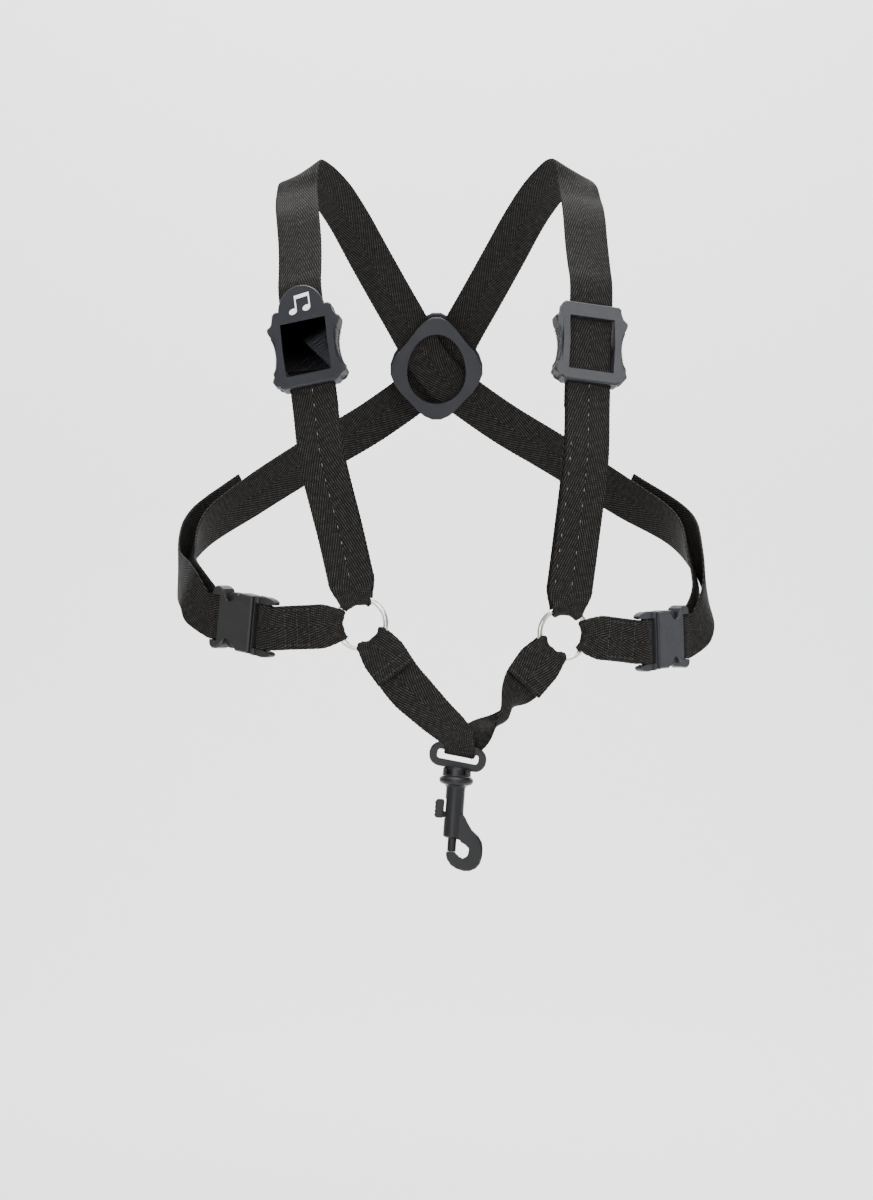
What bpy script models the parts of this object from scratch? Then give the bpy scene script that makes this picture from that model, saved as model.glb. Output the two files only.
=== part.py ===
"""Shoulder harness neck strap for a saxophone, in metres, +Z up, front toward -Y.

Two woven straps run from a slider on the chest, over the shoulder, cross at the
back and come round the side to a side-release buckle.  Each slider strap hangs a
ring, each ring carries a buckle tab, and a lower V strap joins the two rings and
holds the swivel hook.  Helper code works in millimetres and meshes are in metres.
"""
import bpy
import bmesh
import math
import numpy as np
from mathutils import Matrix, Vector

MM = 0.001

# webbing
WEB_W = 25.4
WEB_T = 1.5
LOOP_T = 1.2
# rings
RING_R = 14.0
WIRE_R = 1.5
FOLD_R = 2.65
# slider frame
SL_UP = 24.5
SL_DOWN = 22.7
SL_WINDOW = 16.0
SL_CHANNEL = 26.2
BAR_HALF = 2.2
BADGE_R = 13.6
# buckle
BK_W = 33.0
BK_L = 35.5
BK_T = 9.4
# hook
EYE_W = 32.0
EYE_BAR_R = 2.2
EYE_FOLD_R = 3.75
SHANK_R = 5.3
BOLT_R = 2.45
BOLT_TRAVEL = 6.0
# placements
RING_L = (-41.9, -109.0, -263.1)
RING_R_POS = (70.8, -102.4, -268.8)
SLIDER_L = (-72.6, -83.6, -109.0)
SLIDER_R = (86.4, -79.0, -107.0)
MOUTH_L = (-101.6, -86.0, -264.0)
MOUTH_R = (122.4, -67.5, -273.0)
EYE_POS = (12.7, -114.0, -332.2)
GUIDE_POS = (0.0, 94.3, -110.0)

CHEST_Z = [0, -30, -60, -100, -150, -200, -250, -300, -350]
CHEST_F = [0, 45, 65, 82, 95, 104, 107, 104, 100]

V = Vector


def clear_scene():
    for obj in list(bpy.data.objects):
        bpy.data.objects.remove(obj, do_unlink=True)


def chest_y(x, z, off=0.0):
    """Front of a wearer's chest at (x, z), moved out by off."""
    f = float(np.interp(-z, [-v for v in CHEST_Z], CHEST_F))
    t = max(0.0, 1.0 - abs(x / 148.0) ** 2.3)
    return -(f * t ** (1 / 2.3)) - off


def on_chest(x, z, off):
    return V((x, chest_y(x, z, off), z))


def material(name, colour, roughness, metallic=0.0):
    mat = bpy.data.materials.get(name)
    if mat:
        return mat
    mat = bpy.data.materials.new(name)
    mat.use_nodes = True
    bsdf = mat.node_tree.nodes["Principled BSDF"]
    bsdf.inputs["Base Color"].default_value = (*colour, 1.0)
    bsdf.inputs["Roughness"].default_value = roughness
    bsdf.inputs["Metallic"].default_value = metallic
    return mat


def webbing_mat():
    return material("black_polyester_webbing", (0.022, 0.020, 0.019), 0.85)


def slate_mat():
    return material("slate_acetal", (0.062, 0.062, 0.072), 0.5)


def buckle_mat():
    return material("charcoal_acetal", (0.042, 0.042, 0.04), 0.45)


def hook_mat():
    return material("black_nylon", (0.028, 0.028, 0.03), 0.4)


def nickel_mat():
    return material("nickel_steel", (0.62, 0.6, 0.57), 0.22, 1.0)


def spring_mat():
    return material("spring_steel", (0.42, 0.41, 0.4), 0.35, 1.0)


def add_object(name, bm, mat, smooth=False, origin=None):
    """Mesh object from a bmesh in mm, with its origin at the given point in mm."""
    o = V(origin) if origin is not None else V((0, 0, 0))
    bmesh.ops.translate(bm, verts=bm.verts, vec=-o)
    bmesh.ops.scale(bm, verts=bm.verts, vec=(MM, MM, MM))
    bmesh.ops.recalc_face_normals(bm, faces=bm.faces)
    mesh = bpy.data.meshes.new(name)
    bm.to_mesh(mesh)
    bm.free()
    for p in mesh.polygons:
        p.use_smooth = smooth
    obj = bpy.data.objects.new(name, mesh)
    bpy.context.collection.objects.link(obj)
    obj.location = o * MM
    obj.data.materials.append(mat)
    return obj


def boolean(target, cutters, operation="DIFFERENCE"):
    """Apply an exact boolean with each cutter, then drop the cutters."""
    for cutter in cutters:
        mod = target.modifiers.new("cut", "BOOLEAN")
        mod.operation = operation
        mod.solver = "EXACT"
        mod.object = cutter
        bpy.context.view_layer.update()
        deps = bpy.context.evaluated_depsgraph_get()
        mesh = bpy.data.meshes.new_from_object(target.evaluated_get(deps))
        target.modifiers.clear()
        old = target.data
        target.data = mesh
        bpy.data.meshes.remove(old)
        bpy.data.objects.remove(cutter, do_unlink=True)
        bm = bmesh.new()
        bm.from_mesh(mesh)
        bmesh.ops.remove_doubles(bm, verts=bm.verts, dist=3e-6)
        bmesh.ops.dissolve_degenerate(bm, edges=bm.edges, dist=1e-6)
        bm.to_mesh(mesh)
        bm.free()
    return target


# ---------------------------------------------------------------- plain solids

def frame_matrix(origin, ax, ay, az):
    m = Matrix.Identity(4)
    for i, a in enumerate((V(ax).normalized(), V(ay).normalized(), V(az).normalized())):
        m[0][i], m[1][i], m[2][i] = a
    m[0][3], m[1][3], m[2][3] = V(origin)
    return m


def box_bm(lo, hi, matrix=None):
    bm = bmesh.new()
    bmesh.ops.create_cube(bm, size=1.0)
    for v in bm.verts:
        v.co = V([lo[i] + (v.co[i] + 0.5) * (hi[i] - lo[i]) for i in range(3)])
    if matrix is not None:
        bm.transform(matrix)
    return bm


def prism_bm(outline, z0, z1, matrix=None, bevel=0.0):
    """Extrude a 2-D outline from z0 to z1 in local space."""
    bm = bmesh.new()
    low = [bm.verts.new((x, y, z0)) for x, y in outline]
    high = [bm.verts.new((x, y, z1)) for x, y in outline]
    n = len(outline)
    bm.faces.new(low[::-1])
    bm.faces.new(high)
    rims = []
    for i in range(n):
        bm.faces.new((low[i], low[(i + 1) % n], high[(i + 1) % n], high[i]))
    if bevel > 0:
        for loop in (low, high):
            for i in range(n):
                rims.append(bm.edges.get((loop[i], loop[(i + 1) % n])))
        bmesh.ops.bevel(bm, geom=rims, offset=bevel, segments=1, affect="EDGES", profile=0.5)
    if matrix is not None:
        bm.transform(matrix)
    return bm


def revolve_bm(profile, segments, matrix=None):
    """Closed solid of revolution about local z from (radius, z) pairs, ends on the axis."""
    bm = bmesh.new()
    rows = []
    for r, z in profile:
        if r < 1e-6:
            rows.append([bm.verts.new((0, 0, z))])
        else:
            rows.append([bm.verts.new((r * math.cos(2 * math.pi * i / segments),
                                       r * math.sin(2 * math.pi * i / segments), z))
                         for i in range(segments)])
    for a, b in zip(rows[:-1], rows[1:]):
        for i in range(segments):
            j = (i + 1) % segments
            if len(a) == 1 and len(b) > 1:
                bm.faces.new((a[0], b[i], b[j]))
            elif len(b) == 1 and len(a) > 1:
                bm.faces.new((a[i], b[0], a[j]))
            elif len(a) > 1:
                bm.faces.new((a[i], b[i], b[j], a[j]))
    if matrix is not None:
        bm.transform(matrix)
    return bm


def tube_bm(points, radius, sides, matrix=None, closed=False):
    """Round bar along a poly-line."""
    bm = bmesh.new()
    pts = [V(p) for p in points]
    n = len(pts)
    rings = []
    up = None
    for i, p in enumerate(pts):
        if closed:
            t = (pts[(i + 1) % n] - pts[i - 1]).normalized()
        else:
            t = (pts[min(i + 1, n - 1)] - pts[max(i - 1, 0)]).normalized()
        if up is None:
            up = t.orthogonal().normalized()
        up = (up - t * up.dot(t)).normalized()
        side = t.cross(up)
        rings.append([bm.verts.new(p + radius * (math.cos(2 * math.pi * k / sides) * up
                                                 + math.sin(2 * math.pi * k / sides) * side))
                      for k in range(sides)])
    last = n if closed else n - 1
    for i in range(last):
        a, b = rings[i], rings[(i + 1) % n]
        for k in range(sides):
            m = (k + 1) % sides
            bm.faces.new((a[k], b[k], b[m], a[m]))
    if not closed:
        bm.faces.new(rings[0][::-1])
        bm.faces.new(rings[-1])
    if matrix is not None:
        bm.transform(matrix)
    return bm


def stadium(w, h, r, steps=5):
    """Rounded rectangle outline, w by h, corner radius r."""
    pts = []
    for cx, cy, a0 in ((w / 2 - r, h / 2 - r, 0), (-w / 2 + r, h / 2 - r, 90),
                       (-w / 2 + r, -h / 2 + r, 180), (w / 2 - r, -h / 2 + r, 270)):
        for k in range(steps + 1):
            a = math.radians(a0 + 90 * k / steps)
            pts.append((cx + r * math.cos(a), cy + r * math.sin(a)))
    return pts


# ------------------------------------------------------------------- ribbons
# A row is five points across a strap.  Rows become a closed band of even thickness.

ACROSS = (-1.0, -0.5, 0.0, 0.5, 1.0)


def row(p, a, half, drop=None, s=1.0, half_ring=None):
    """Five points across the strap at p.  Near a ring the row keeps the ring's curve."""
    p, a = V(p), V(a).normalized()
    out = []
    for u in ACROSS:
        v = half * u
        q = p.copy()
        if half_ring is not None and s < 1.0:
            ang = math.asin(half_ring / RING_R) * u
            v = (1 - s) * RING_R * math.sin(ang) + s * half * u
            q = q - V(drop) * ((1 - s) * RING_R * (1 - math.cos(ang)))
        out.append(q + a * v)
    return out


def ring_fold(c, d, a, n, half, front_to_back, steps=8):
    """Rows round the ring wire, from the leg on one side through the hole to the other."""
    rows = []
    amax = math.asin(half / RING_R)
    for i in range(steps + 1):
        phi = math.pi * i / steps
        if not front_to_back:
            phi = math.pi - phi
        r = []
        for u in ACROSS:
            ang = amax * u
            rad = d * math.cos(ang) + a * math.sin(ang)
            r.append(c + rad * (RING_R - FOLD_R * math.sin(phi)) + n * FOLD_R * math.cos(phi))
        rows.append(r)
    return rows


def bar_fold(c, inward, n, a, half, radius, start_front, steps=6):
    """Half turn round a straight bar.  inward points from the strap toward the bar."""
    rows = []
    for i in range(steps + 1):
        phi = math.pi * i / steps
        if not start_front:
            phi = math.pi - phi
        p = c + inward * radius * math.sin(phi) + n * radius * math.cos(phi)
        rows.append(row(p, a, half))
    return rows


def band_bm(rows, thick):
    """Closed band from the rows of its middle surface."""
    g = np.array([[list(p) for p in r] for r in rows])
    along = np.gradient(g, axis=0)
    across = np.gradient(g, axis=1)
    nrm = np.cross(across, along)
    nrm /= np.linalg.norm(nrm, axis=2, keepdims=True) + 1e-12
    top, bot = g + nrm * thick / 2, g - nrm * thick / 2
    bm = bmesh.new()
    rt = [[bm.verts.new(p) for p in r] for r in top]
    rb = [[bm.verts.new(p) for p in r] for r in bot]
    k = g.shape[1]
    for i in range(len(rows) - 1):
        for j in range(k - 1):
            bm.faces.new((rt[i][j], rt[i][j + 1], rt[i + 1][j + 1], rt[i + 1][j]))
            bm.faces.new((rb[i][j], rb[i + 1][j], rb[i + 1][j + 1], rb[i][j + 1]))
        bm.faces.new((rt[i][0], rt[i + 1][0], rb[i + 1][0], rb[i][0]))
        bm.faces.new((rt[i][-1], rb[i][-1], rb[i + 1][-1], rt[i + 1][-1]))
    for e in (0, -1):
        for j in range(k - 1):
            bm.faces.new((rt[e][j], rb[e][j], rb[e][j + 1], rt[e][j + 1]))
    return bm


def spline(points, count):
    """Evenly spaced points and tangents on a Catmull-Rom curve."""
    p = np.array([list(q) for q in points], float)
    ext = np.vstack([2 * p[0] - p[1], p, 2 * p[-1] - p[-2]])
    dense = []
    for i in range(1, len(ext) - 2):
        p0, p1, p2, p3 = ext[i - 1:i + 3]
        d01 = max(np.linalg.norm(p1 - p0), 1e-6) ** 0.5
        d12 = max(np.linalg.norm(p2 - p1), 1e-6) ** 0.5
        d23 = max(np.linalg.norm(p3 - p2), 1e-6) ** 0.5
        m1 = (p2 - p1 + d12 * ((p1 - p0) / d01 - (p2 - p0) / (d01 + d12)))
        m2 = (p2 - p1 + d12 * ((p3 - p2) / d23 - (p3 - p1) / (d12 + d23)))
        for t in np.linspace(0, 1, 24, endpoint=False):
            dense.append((2 * t ** 3 - 3 * t ** 2 + 1) * p1 + (t ** 3 - 2 * t ** 2 + t) * m1
                         + (3 * t ** 2 - 2 * t ** 3) * p2 + (t ** 3 - t ** 2) * m2)
    dense.append(p[-1])
    dense = np.array(dense)
    s = np.concatenate([[0], np.cumsum(np.linalg.norm(np.diff(dense, axis=0), axis=1))])
    at = np.linspace(0, s[-1], count)
    pos = np.stack([np.interp(at, s, dense[:, i]) for i in range(3)], axis=1)
    return pos, at / s[-1]


def lerp_keys(t, keys):
    """Vector or number read from (t, value) keys."""
    for (t0, v0), (t1, v1) in zip(keys[:-1], keys[1:]):
        if t <= t1:
            k = (t - t0) / (t1 - t0)
            return v0 * (1 - k) + v1 * k
    return keys[-1][1]


def route_rows(points, acrosses, count, half):
    """Rows along a curve, the across direction read off one vector per point."""
    pts = [V(p) for p in points]
    pos, frac = spline(pts, count)
    seg = [0.0]
    for a, b in zip(pts[:-1], pts[1:]):
        seg.append(seg[-1] + (b - a).length)
    keys = [(s / seg[-1], V(a).normalized()) for s, a in zip(seg, acrosses)]
    rows = []
    for i, p in enumerate(pos):
        t = V(pos[min(i + 1, count - 1)] - pos[max(i - 1, 0)]).normalized()
        a = lerp_keys(frac[i], keys)
        a = (a - t * a.dot(t)).normalized()
        h = half if not isinstance(half, list) else lerp_keys(frac[i], half)
        rows.append(row(p, a, h))
    return rows


# ------------------------------------------------------------ shared frames

def ring_frame(side):
    """Centre, right, up and outward of a ring."""
    yaw = math.radians(10 if side < 0 else 17) * side
    right = V((math.cos(yaw), math.sin(yaw), 0.0))
    up = V((0, 0, 1))
    n = right.cross(up)
    c = V(RING_L if side < 0 else RING_R_POS)
    return c, right, up, n


def ring_dir(side, degrees):
    c, right, up, n = ring_frame(side)
    a = math.radians(degrees)
    d = right * math.cos(a) + up * math.sin(a)
    return c, d, n.cross(d), n


def slider_frame(side):
    """Centre, across, down-strap and outward of a slider."""
    if side < 0:
        t = V((8.6, -21.7, -64.2)).normalized()
        a = V((math.cos(0.24), -math.sin(0.24), 0))
    else:
        t = V((-2.4, -20.5, -64.2)).normalized()
        a = V((math.cos(0.28), math.sin(0.28), 0))
    a = (a - t * a.dot(t)).normalized()
    return V(SLIDER_L if side < 0 else SLIDER_R), a, t, t.cross(a)


def buckle_frame(side):
    """Mouth centre, toward the strap end, across and outward of a buckle."""
    if side < 0:
        yaw, rise = math.radians(48), math.radians(8)
        along = V((-math.cos(yaw) * math.cos(rise), math.sin(yaw) * math.cos(rise), math.sin(rise)))
        c = V(MOUTH_L)
    else:
        yaw, rise = math.radians(57), math.radians(3.6)
        along = V((math.cos(yaw) * math.cos(rise), math.sin(yaw) * math.cos(rise), math.sin(rise)))
        c = V(MOUTH_R)
    w = (V((0, 0, 1)) - along * along.z).normalized()
    n = along.cross(w) if side < 0 else w.cross(along)
    if n.y > 0:
        n = -n
    return c, along, w, n


# --------------------------------------------------------------- long straps

def back_points(side):
    """Route from the shoulder over the back, round the far side to its buckle."""
    s = side
    lift = 0.0 if s < 0 else 4.6
    return [V((s * 66, 22, -5)), V((s * 54, 43, -20)), V((s * 40, 62, -44)),
            V((s * 20, 82 + lift, -78)), V((0, 92 + lift, -110)),
            V((-s * 34, 96 + lift * 0.8, -137)), V((-s * 74, 88, -162)),
            V((-s * 111, 64, -187))]


def front_keys(side):
    """(x, z, offset from the chest) of the front of a shoulder strap, top to bottom."""
    if side < 0:
        return [(-78.9, -0.2, 0), (-81.2, -13.5, 0.9), (-80.1, -26.2, 1.2), (-77.9, -48.5, 2.2)]
    return [(78.9, 1.2, 0), (83.0, -13.5, 0.9), (84.7, -26.1, 1.2), (85.9, -48.3, 2.2)]


def long_strap(side):
    """Slider end, ring, slider, shoulder, crossing, far side, buckle and tail."""
    name = "strap_shoulder_left" if side < 0 else "strap_shoulder_right"
    theta = 103 if side < 0 else 82
    c, d, a, n = ring_dir(side, theta)
    sc, sa, st, sn = slider_frame(side)
    half = WEB_W / 2
    ra = -a  # across runs toward +x like the slider's
    lower = 34.0
    rows = []
    # back layer, from its end under the slider down to the ring
    top_end = sc + st * 15.0 - sn * 3.9
    back_mid = sc + st * 62.0 - sn * 4.4
    start = c + d * (RING_R + 14.0) - n * FOLD_R
    keys = [top_end, sc + st * 32 - sn * 3.9, back_mid, start + d * 24 - n * 0.2, start]
    rows += route_rows(keys, [sa, sa, sa, ra, ra], 14, half)
    hr = 8.7
    for t in (9.5, 5.5, 2.5):
        k = t / 9.5
        k = k * k * (3 - 2 * k)
        rows.append(row(c + d * (RING_R + t) - n * FOLD_R, ra, half, d, k, hr))
    rows += ring_fold(c, d, ra, n, hr, False)
    for t in (2.5, 5.5, 9.5):
        k = t / 9.5
        k = k * k * (3 - 2 * k)
        rows.append(row(c + d * (RING_R + t) + n * FOLD_R, ra, half, d, k, hr))
    # front layer up to the slider, straight through it, then to the shoulder
    leg = c + d * (RING_R + 14.0) + n * FOLD_R
    keys = [leg, leg + d * 22 + n * 0.1, sc + st * 66 + sn * 0.1, sc + st * (lower + 4)]
    rows += route_rows(keys, [ra, ra, sa, sa], 9, half)
    rows.append(row(sc, sa, half))
    up_keys = [sc - st * (lower + 4)]
    for x, z, off in reversed(front_keys(side)[1:]):
        up_keys.append(on_chest(x, z, off))
    crest = V((side * 78.9, -3.0, 0.0 if side < 0 else 1.2))
    up_keys.append(crest)
    far = back_points(side)
    bc, along, bw, bn = buckle_frame(-side)
    bar = bc + along * (BK_L - 1.75)
    up = V((0, 0, 1))
    bend = bar + along * 12.0 - bn * 3.4 + up * 1.6
    # the strap climbs as soon as it leaves the buckle
    near = bar + along * 21 - bn * 2.0 + up * 11.5
    flank = V((-side * (150 if side < 0 else 145.5), 2, -231))
    wrap = V((-side * (142 if side < 0 else 138), 35, -209))
    pts = up_keys + far + [wrap, flank, near, bend]
    climb = [(up * 0.80 - V((0, 1, 0)) * 0.60) * -side, (up * 0.83 - along * 0.56) * -side,
             (up * 0.97 - along * 0.2) * -side]
    ridge = V((0.80 * side * -1, 0.10, 0.52)) * (-side)
    acr = [sa, V((1, -0.28 * -side, 0.02)), V((0.97, 0.2 * side, 0.10 * -side)),
           V((0.93, 0.16 * side, 0.26 * -side)), V((0.85, 0.12 * side, 0.5 * -side))]
    acr = acr[:len(up_keys) - 1] + [ridge]
    acr += [V((0.80, 0.30 * side, 0.45 * -side)), V((0.83, 0.30 * side, 0.42 * -side)),
            V((0.86, 0.2 * side, 0.46 * -side)), V((0.85, 0.114 * side, 0.52 * -side)),
            V((0.76, 0.03 * side, 0.65 * -side)), V((0.62, 0.12 * side, 0.78 * -side)),
            V((0.48, 0.3 * side, 0.87 * -side)), V((0.3, 0.42 * side, 0.88 * -side))] + climb
    rows += route_rows(pts, acr, 48, half)
    wa = bw * -side
    rows.append(row(bar + along * 5.5 - bn * 2.9, wa, half))
    rows += bar_fold(bar - along * 0.5, -along, bn, wa, half, 2.9, False, 8)
    tail0 = bar + bn * 2.9
    out = bn
    rows.append(row(tail0 + along * 5.5, wa, half))
    tail = [tail0 + along * 13.0 + up * 1.6 + out * 0.9, near + out * 6.8,
            flank + V((-side * 5.2, -2.0, 0.5)), wrap + V((-side * 5.2, 3.0, 1.0)),
            far[-1] + V((-side * 3.6, 5.0, 2.0))]
    rows += route_rows(tail, [climb[2], climb[1], climb[0], V((0.3, 0.42 * side, 0.88 * -side)),
                              V((0.48, 0.3 * side, 0.87 * -side))], 12, half)
    bm = band_bm(rows, WEB_T)
    return add_object(name, bm, webbing_mat(), smooth=True)


# ------------------------------------------------------------------- sliders

def slider_outline():
    """Outline of the frame, stepped at the ears and hollowed where it is gripped."""
    right = [(15.8, SL_UP), (17.3, SL_UP - 1.3), (17.5, 16.3), (20.2, 16.1), (21.4, 15.0), (21.2, 13.1),
             (20.4, 11.2), (19.2, 8.8), (18.2, 5.6), (17.6, 2.2), (17.4, -1.5), (17.7, -5.5),
             (18.4, -9.3), (19.5, -12.8), (20.8, -15.2), (21.4, -17.0), (20.7, -18.5), (19.0, -19.0),
             (17.5, -19.9), (17.0, -21.4), (15.4, -SL_DOWN)]
    left = [(-x, y) for x, y in reversed(right)]
    return left + right


def slider(side):
    """Three-bar slider: plates in front of the strap and a centre bar behind it."""
    name = "slider_left" if side < 0 else "slider_right"
    sc, sa, st, sn = slider_frame(side)
    m = frame_matrix(sc, sa, -st, sn)
    body = add_object(name, prism_bm(slider_outline(), -5.0, 4.3, m, bevel=0.9), slate_mat())
    half = SL_CHANNEL / 2
    cuts = [box_bm((-half, -SL_WINDOW, -2.8), (half, SL_WINDOW, 8), m),
            box_bm((-half, BAR_HALF, -6), (half, SL_UP + 4, 1.1), m),
            box_bm((-half, -SL_DOWN - 4, -6), (half, -BAR_HALF, 1.1), m)]
    tools = [add_object("cut_%d" % i, bm, slate_mat()) for i, bm in enumerate(cuts)]
    roof = [(-14.0, 3.0), (-14.0, 4.2), (0.0, 6.0), (14.0, 4.2), (14.0, 3.0)]
    for x in (-17.0, 13.15):
        rail = m @ Matrix(((0, 0, 1, x), (1, 0, 0, 0), (0, 1, 0, 0), (0, 0, 0, 1)))
        boolean(body, [add_object("rail", prism_bm(roof, 0.0, 3.85, rail), slate_mat())], "UNION")
    if side < 0:
        top = SL_UP - 2.0
        dome = [(BADGE_R * math.cos(math.radians(t)), top + (BADGE_R + 1.9) * math.sin(math.radians(t)))
                for t in range(0, 181, 12)]
        tool = add_object("badge_tool", prism_bm(dome, 1.1, 4.3, m, bevel=0.6), slate_mat())
        boolean(body, [tool], "UNION")
    boolean(body, tools)
    set_origin(body, sc)
    return body


def set_origin(obj, point):
    """Move an object's origin to a point in mm without moving its mesh."""
    shift = V(point) * MM - obj.location
    obj.data.transform(Matrix.Translation(-shift))
    obj.location = V(point) * MM


def slider_loop(side):
    """Sewn loop of the strap's end round the slider's centre bar."""
    name = "end_loop_left" if side < 0 else "end_loop_right"
    sc, sa, st, sn = slider_frame(side)
    half = 12.4
    bar = sc - sn * 3.9
    rad = 2.25
    rows = [row(bar + st * t + sn * rad, sa, half) for t in (30, 17, 4)]
    rows += bar_fold(bar - st * 1.2, -st, sn, sa, half, rad, True)
    rows += [row(bar + st * t - sn * rad, sa, half) for t in (4, 20, 36)]
    return add_object(name, band_bm(rows, LOOP_T), webbing_mat(), smooth=True, origin=sc)


# --------------------------------------------------------------------- rings

def ring(side):
    name = "ring_left" if side < 0 else "ring_right"
    c, right, up, n = ring_frame(side)
    pts = [c + (right * math.cos(2 * math.pi * i / 40) + up * math.sin(2 * math.pi * i / 40)) * RING_R
           for i in range(40)]
    return add_object(name, tube_bm(pts, WIRE_R, 10, closed=True), nickel_mat(), True, c)


# ------------------------------------------------------------------- buckles

def buckle_matrix(side):
    c, along, w, n = buckle_frame(side)
    if along.cross(w).dot(n) < 0:
        w = -w
    return frame_matrix(c, along, w, n), c, along, w, n


def female(side):
    """Receiver: a flat hollow shell with side windows and an end bar for the strap."""
    name = "buckle_socket_left" if side < 0 else "buckle_socket_right"
    m, c, along, w, n = buckle_matrix(side)
    hw, t = BK_W / 2, BK_T / 2
    half = [(0.0, hw - 0.2), (11.6, hw), (13.4, hw - 1.8), (14.8, hw - 4.4), (17.0, hw - 6.3), (19.6, hw - 6.9),
            (22.2, hw - 6.3), (24.3, hw - 4.4), (25.2, hw - 2.2), (26.8, hw + 0.2),
            (29.6, hw + 1.3), (32.6, hw + 1.5), (34.6, hw + 0.4), (BK_L, hw - 1.6)]
    outline = [(x, -y) for x, y in half] + half[::-1]
    body = add_object(name, prism_bm(outline, -t, t, m, bevel=0.9), buckle_mat())
    cav = 14.9
    cuts = [box_bm((-1, -cav, -2.8), (14.2, cav, 2.8), m),
            box_bm((14.0, -20, -2.8), (25.5, 20, 2.8), m),
            box_bm((28.3, -13.1, -8), (32.6, 13.1, 8), m),
            box_bm((31.9, -13.1, 1.75), (37.0, 13.1, 8), m),
            box_bm((31.9, -13.1, -8), (37.0, 13.1, -1.75), m)]
    tools = [add_object("cut_%d" % i, bm, buckle_mat()) for i, bm in enumerate(cuts)]
    boolean(body, tools)
    set_origin(body, c)
    return body


def male(side):
    """Plug base with its strap bar, free ears and the middle guide tongue."""
    name = "buckle_plug_left" if side < 0 else "buckle_plug_right"
    m, c, along, w, n = buckle_matrix(side)
    hw = BK_W / 2
    outline = [(3.6, 8.6), (3.6, 3.0), (15.5, 2.4), (16.5, 1.4), (16.5, -1.4), (15.5, -2.4), (3.6, -3.0),
               (3.6, -8.6), (1.6, -9.2), (-0.4, -9.4), (-0.4, -hw + 0.3), (-4.0, -hw), (-9.5, -hw - 0.5),
               (-13.6, -hw), (-16.2, -hw + 0.8), (-17.2, -hw + 1.8), (-16.9, -hw + 2.8), (-15.6, -13.2),
               (-10.2, -13.1), (-10.2, 13.1), (-15.6, 13.2), (-16.9, hw - 2.8), (-17.2, hw - 1.8),
               (-16.2, hw - 0.8), (-13.6, hw), (-9.5, hw + 0.5), (-4.0, hw), (-0.4, hw - 0.3),
               (-0.4, 9.4), (1.6, 9.2)]
    body = add_object(name, prism_bm(outline[::-1], -2.5, 2.5, m, bevel=0.5), buckle_mat())
    block = add_object("lip", prism_bm([(-4.2, hw + 0.2), (-4.2, -hw - 0.2), (-0.4, -hw - 0.2),
                                        (-0.4, hw + 0.2)][::-1], -3.6, 3.6, m, 0.8), buckle_mat())
    boolean(body, [block], "UNION")
    cuts = [box_bm((-6.1, -12.9, -6), (-2.2, 12.9, 6), m),
            box_bm((-11.0, -12.95, 1.25), (-5.3, 12.95, 6), m),
            box_bm((-11.0, -12.95, -6), (-5.3, 12.95, -1.25), m)]
    tools = [add_object("cut_%d" % i, bm, buckle_mat()) for i, bm in enumerate(cuts)]
    boolean(body, tools)
    set_origin(body, c)
    return body


TINE_PIVOT = (5.4, 8.3)


def tine(side, hand):
    """Springing latch arm with its rounded head in the socket's side window."""
    name = "latch_%s_%s" % ("left" if side < 0 else "right", "upper" if hand > 0 else "lower")
    m, c, along, w, n = buckle_matrix(side)
    if w.z < 0:
        hand = -hand
    pts = [(4.0, 6.9), (4.0, 9.7), (9.0, 12.0), (13.6, 13.2), (14.9, 13.6), (15.3, 14.9), (17.0, 15.9),
           (19.5, 15.9), (22.4, 14.4), (24.4, 12.0), (24.9, 10.4), (24.0, 9.6), (22.0, 10.6),
           (15.0, 10.2), (9.0, 8.6)]
    outline = [(x, y * hand) for x, y in pts]
    if hand > 0:
        outline = outline[::-1]
    pivot = m @ V((TINE_PIVOT[0], TINE_PIVOT[1] * hand, 0))
    return add_object(name, prism_bm(outline, -2.4, 2.4, m, bevel=0.6), buckle_mat(), origin=pivot)


def chest_tab(side):
    """Doubled webbing tab from the plug's bar to the ring, sewn flat."""
    name = "tab_left" if side < 0 else "tab_right"
    c, along, bw, bn = buckle_frame(side)
    rc, d, a, n = ring_dir(side, 184 if side < 0 else -6)
    half = WEB_W / 2 - 0.4
    if a.dot(bw) < 0:
        a = -a
    bar = c - along * 7.4
    leave = bar - along * 6.5
    target_front = rc + d * (RING_R + 12.0) + n * FOLD_R
    target_back = rc + d * (RING_R + 12.0) - n * FOLD_R
    rows = []
    hr = 9.0
    mid = (leave + (target_front + target_back) * 0.5) * 0.5
    out = (bn + n).normalized()
    # from one cut end on the body side, round the plug's bar and along the front
    rows += route_rows([leave.lerp(target_back, 0.36) - out * 1.2, leave - bn * 2.0,
                        bar - along * 3.0 - bn * 2.6], [bw, bw, bw], 5, half)
    rows += bar_fold(bar + along * 0.6, along, bn, bw, half, 2.6, False, 8)
    rows += route_rows([bar - along * 3.0 + bn * 2.6, leave + bn * 1.7, mid + out * 1.0, target_front],
                       [bw, bw, a, a], 9, half)
    for t in (8.0, 4.5, 2.0):
        k = t / 8.0
        k = k * k * (3 - 2 * k)
        rows.append(row(rc + d * (RING_R + t) + n * FOLD_R, a, half, d, k, hr))
    rows += ring_fold(rc, d, a, n, hr, True)
    for t in (2.0, 4.5, 8.0):
        k = t / 8.0
        k = k * k * (3 - 2 * k)
        rows.append(row(rc + d * (RING_R + t) - n * FOLD_R, a, half, d, k, hr))
    # back along the body side to the other cut end
    rows += route_rows([target_back, mid - out * 1.1, leave.lerp(target_back, 0.44) - out * 1.15],
                       [a, a, bw], 5, half)
    return add_object(name, band_bm(rows, WEB_T), webbing_mat(), smooth=True)


# -------------------------------------------------------- lower strap and hook

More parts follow.
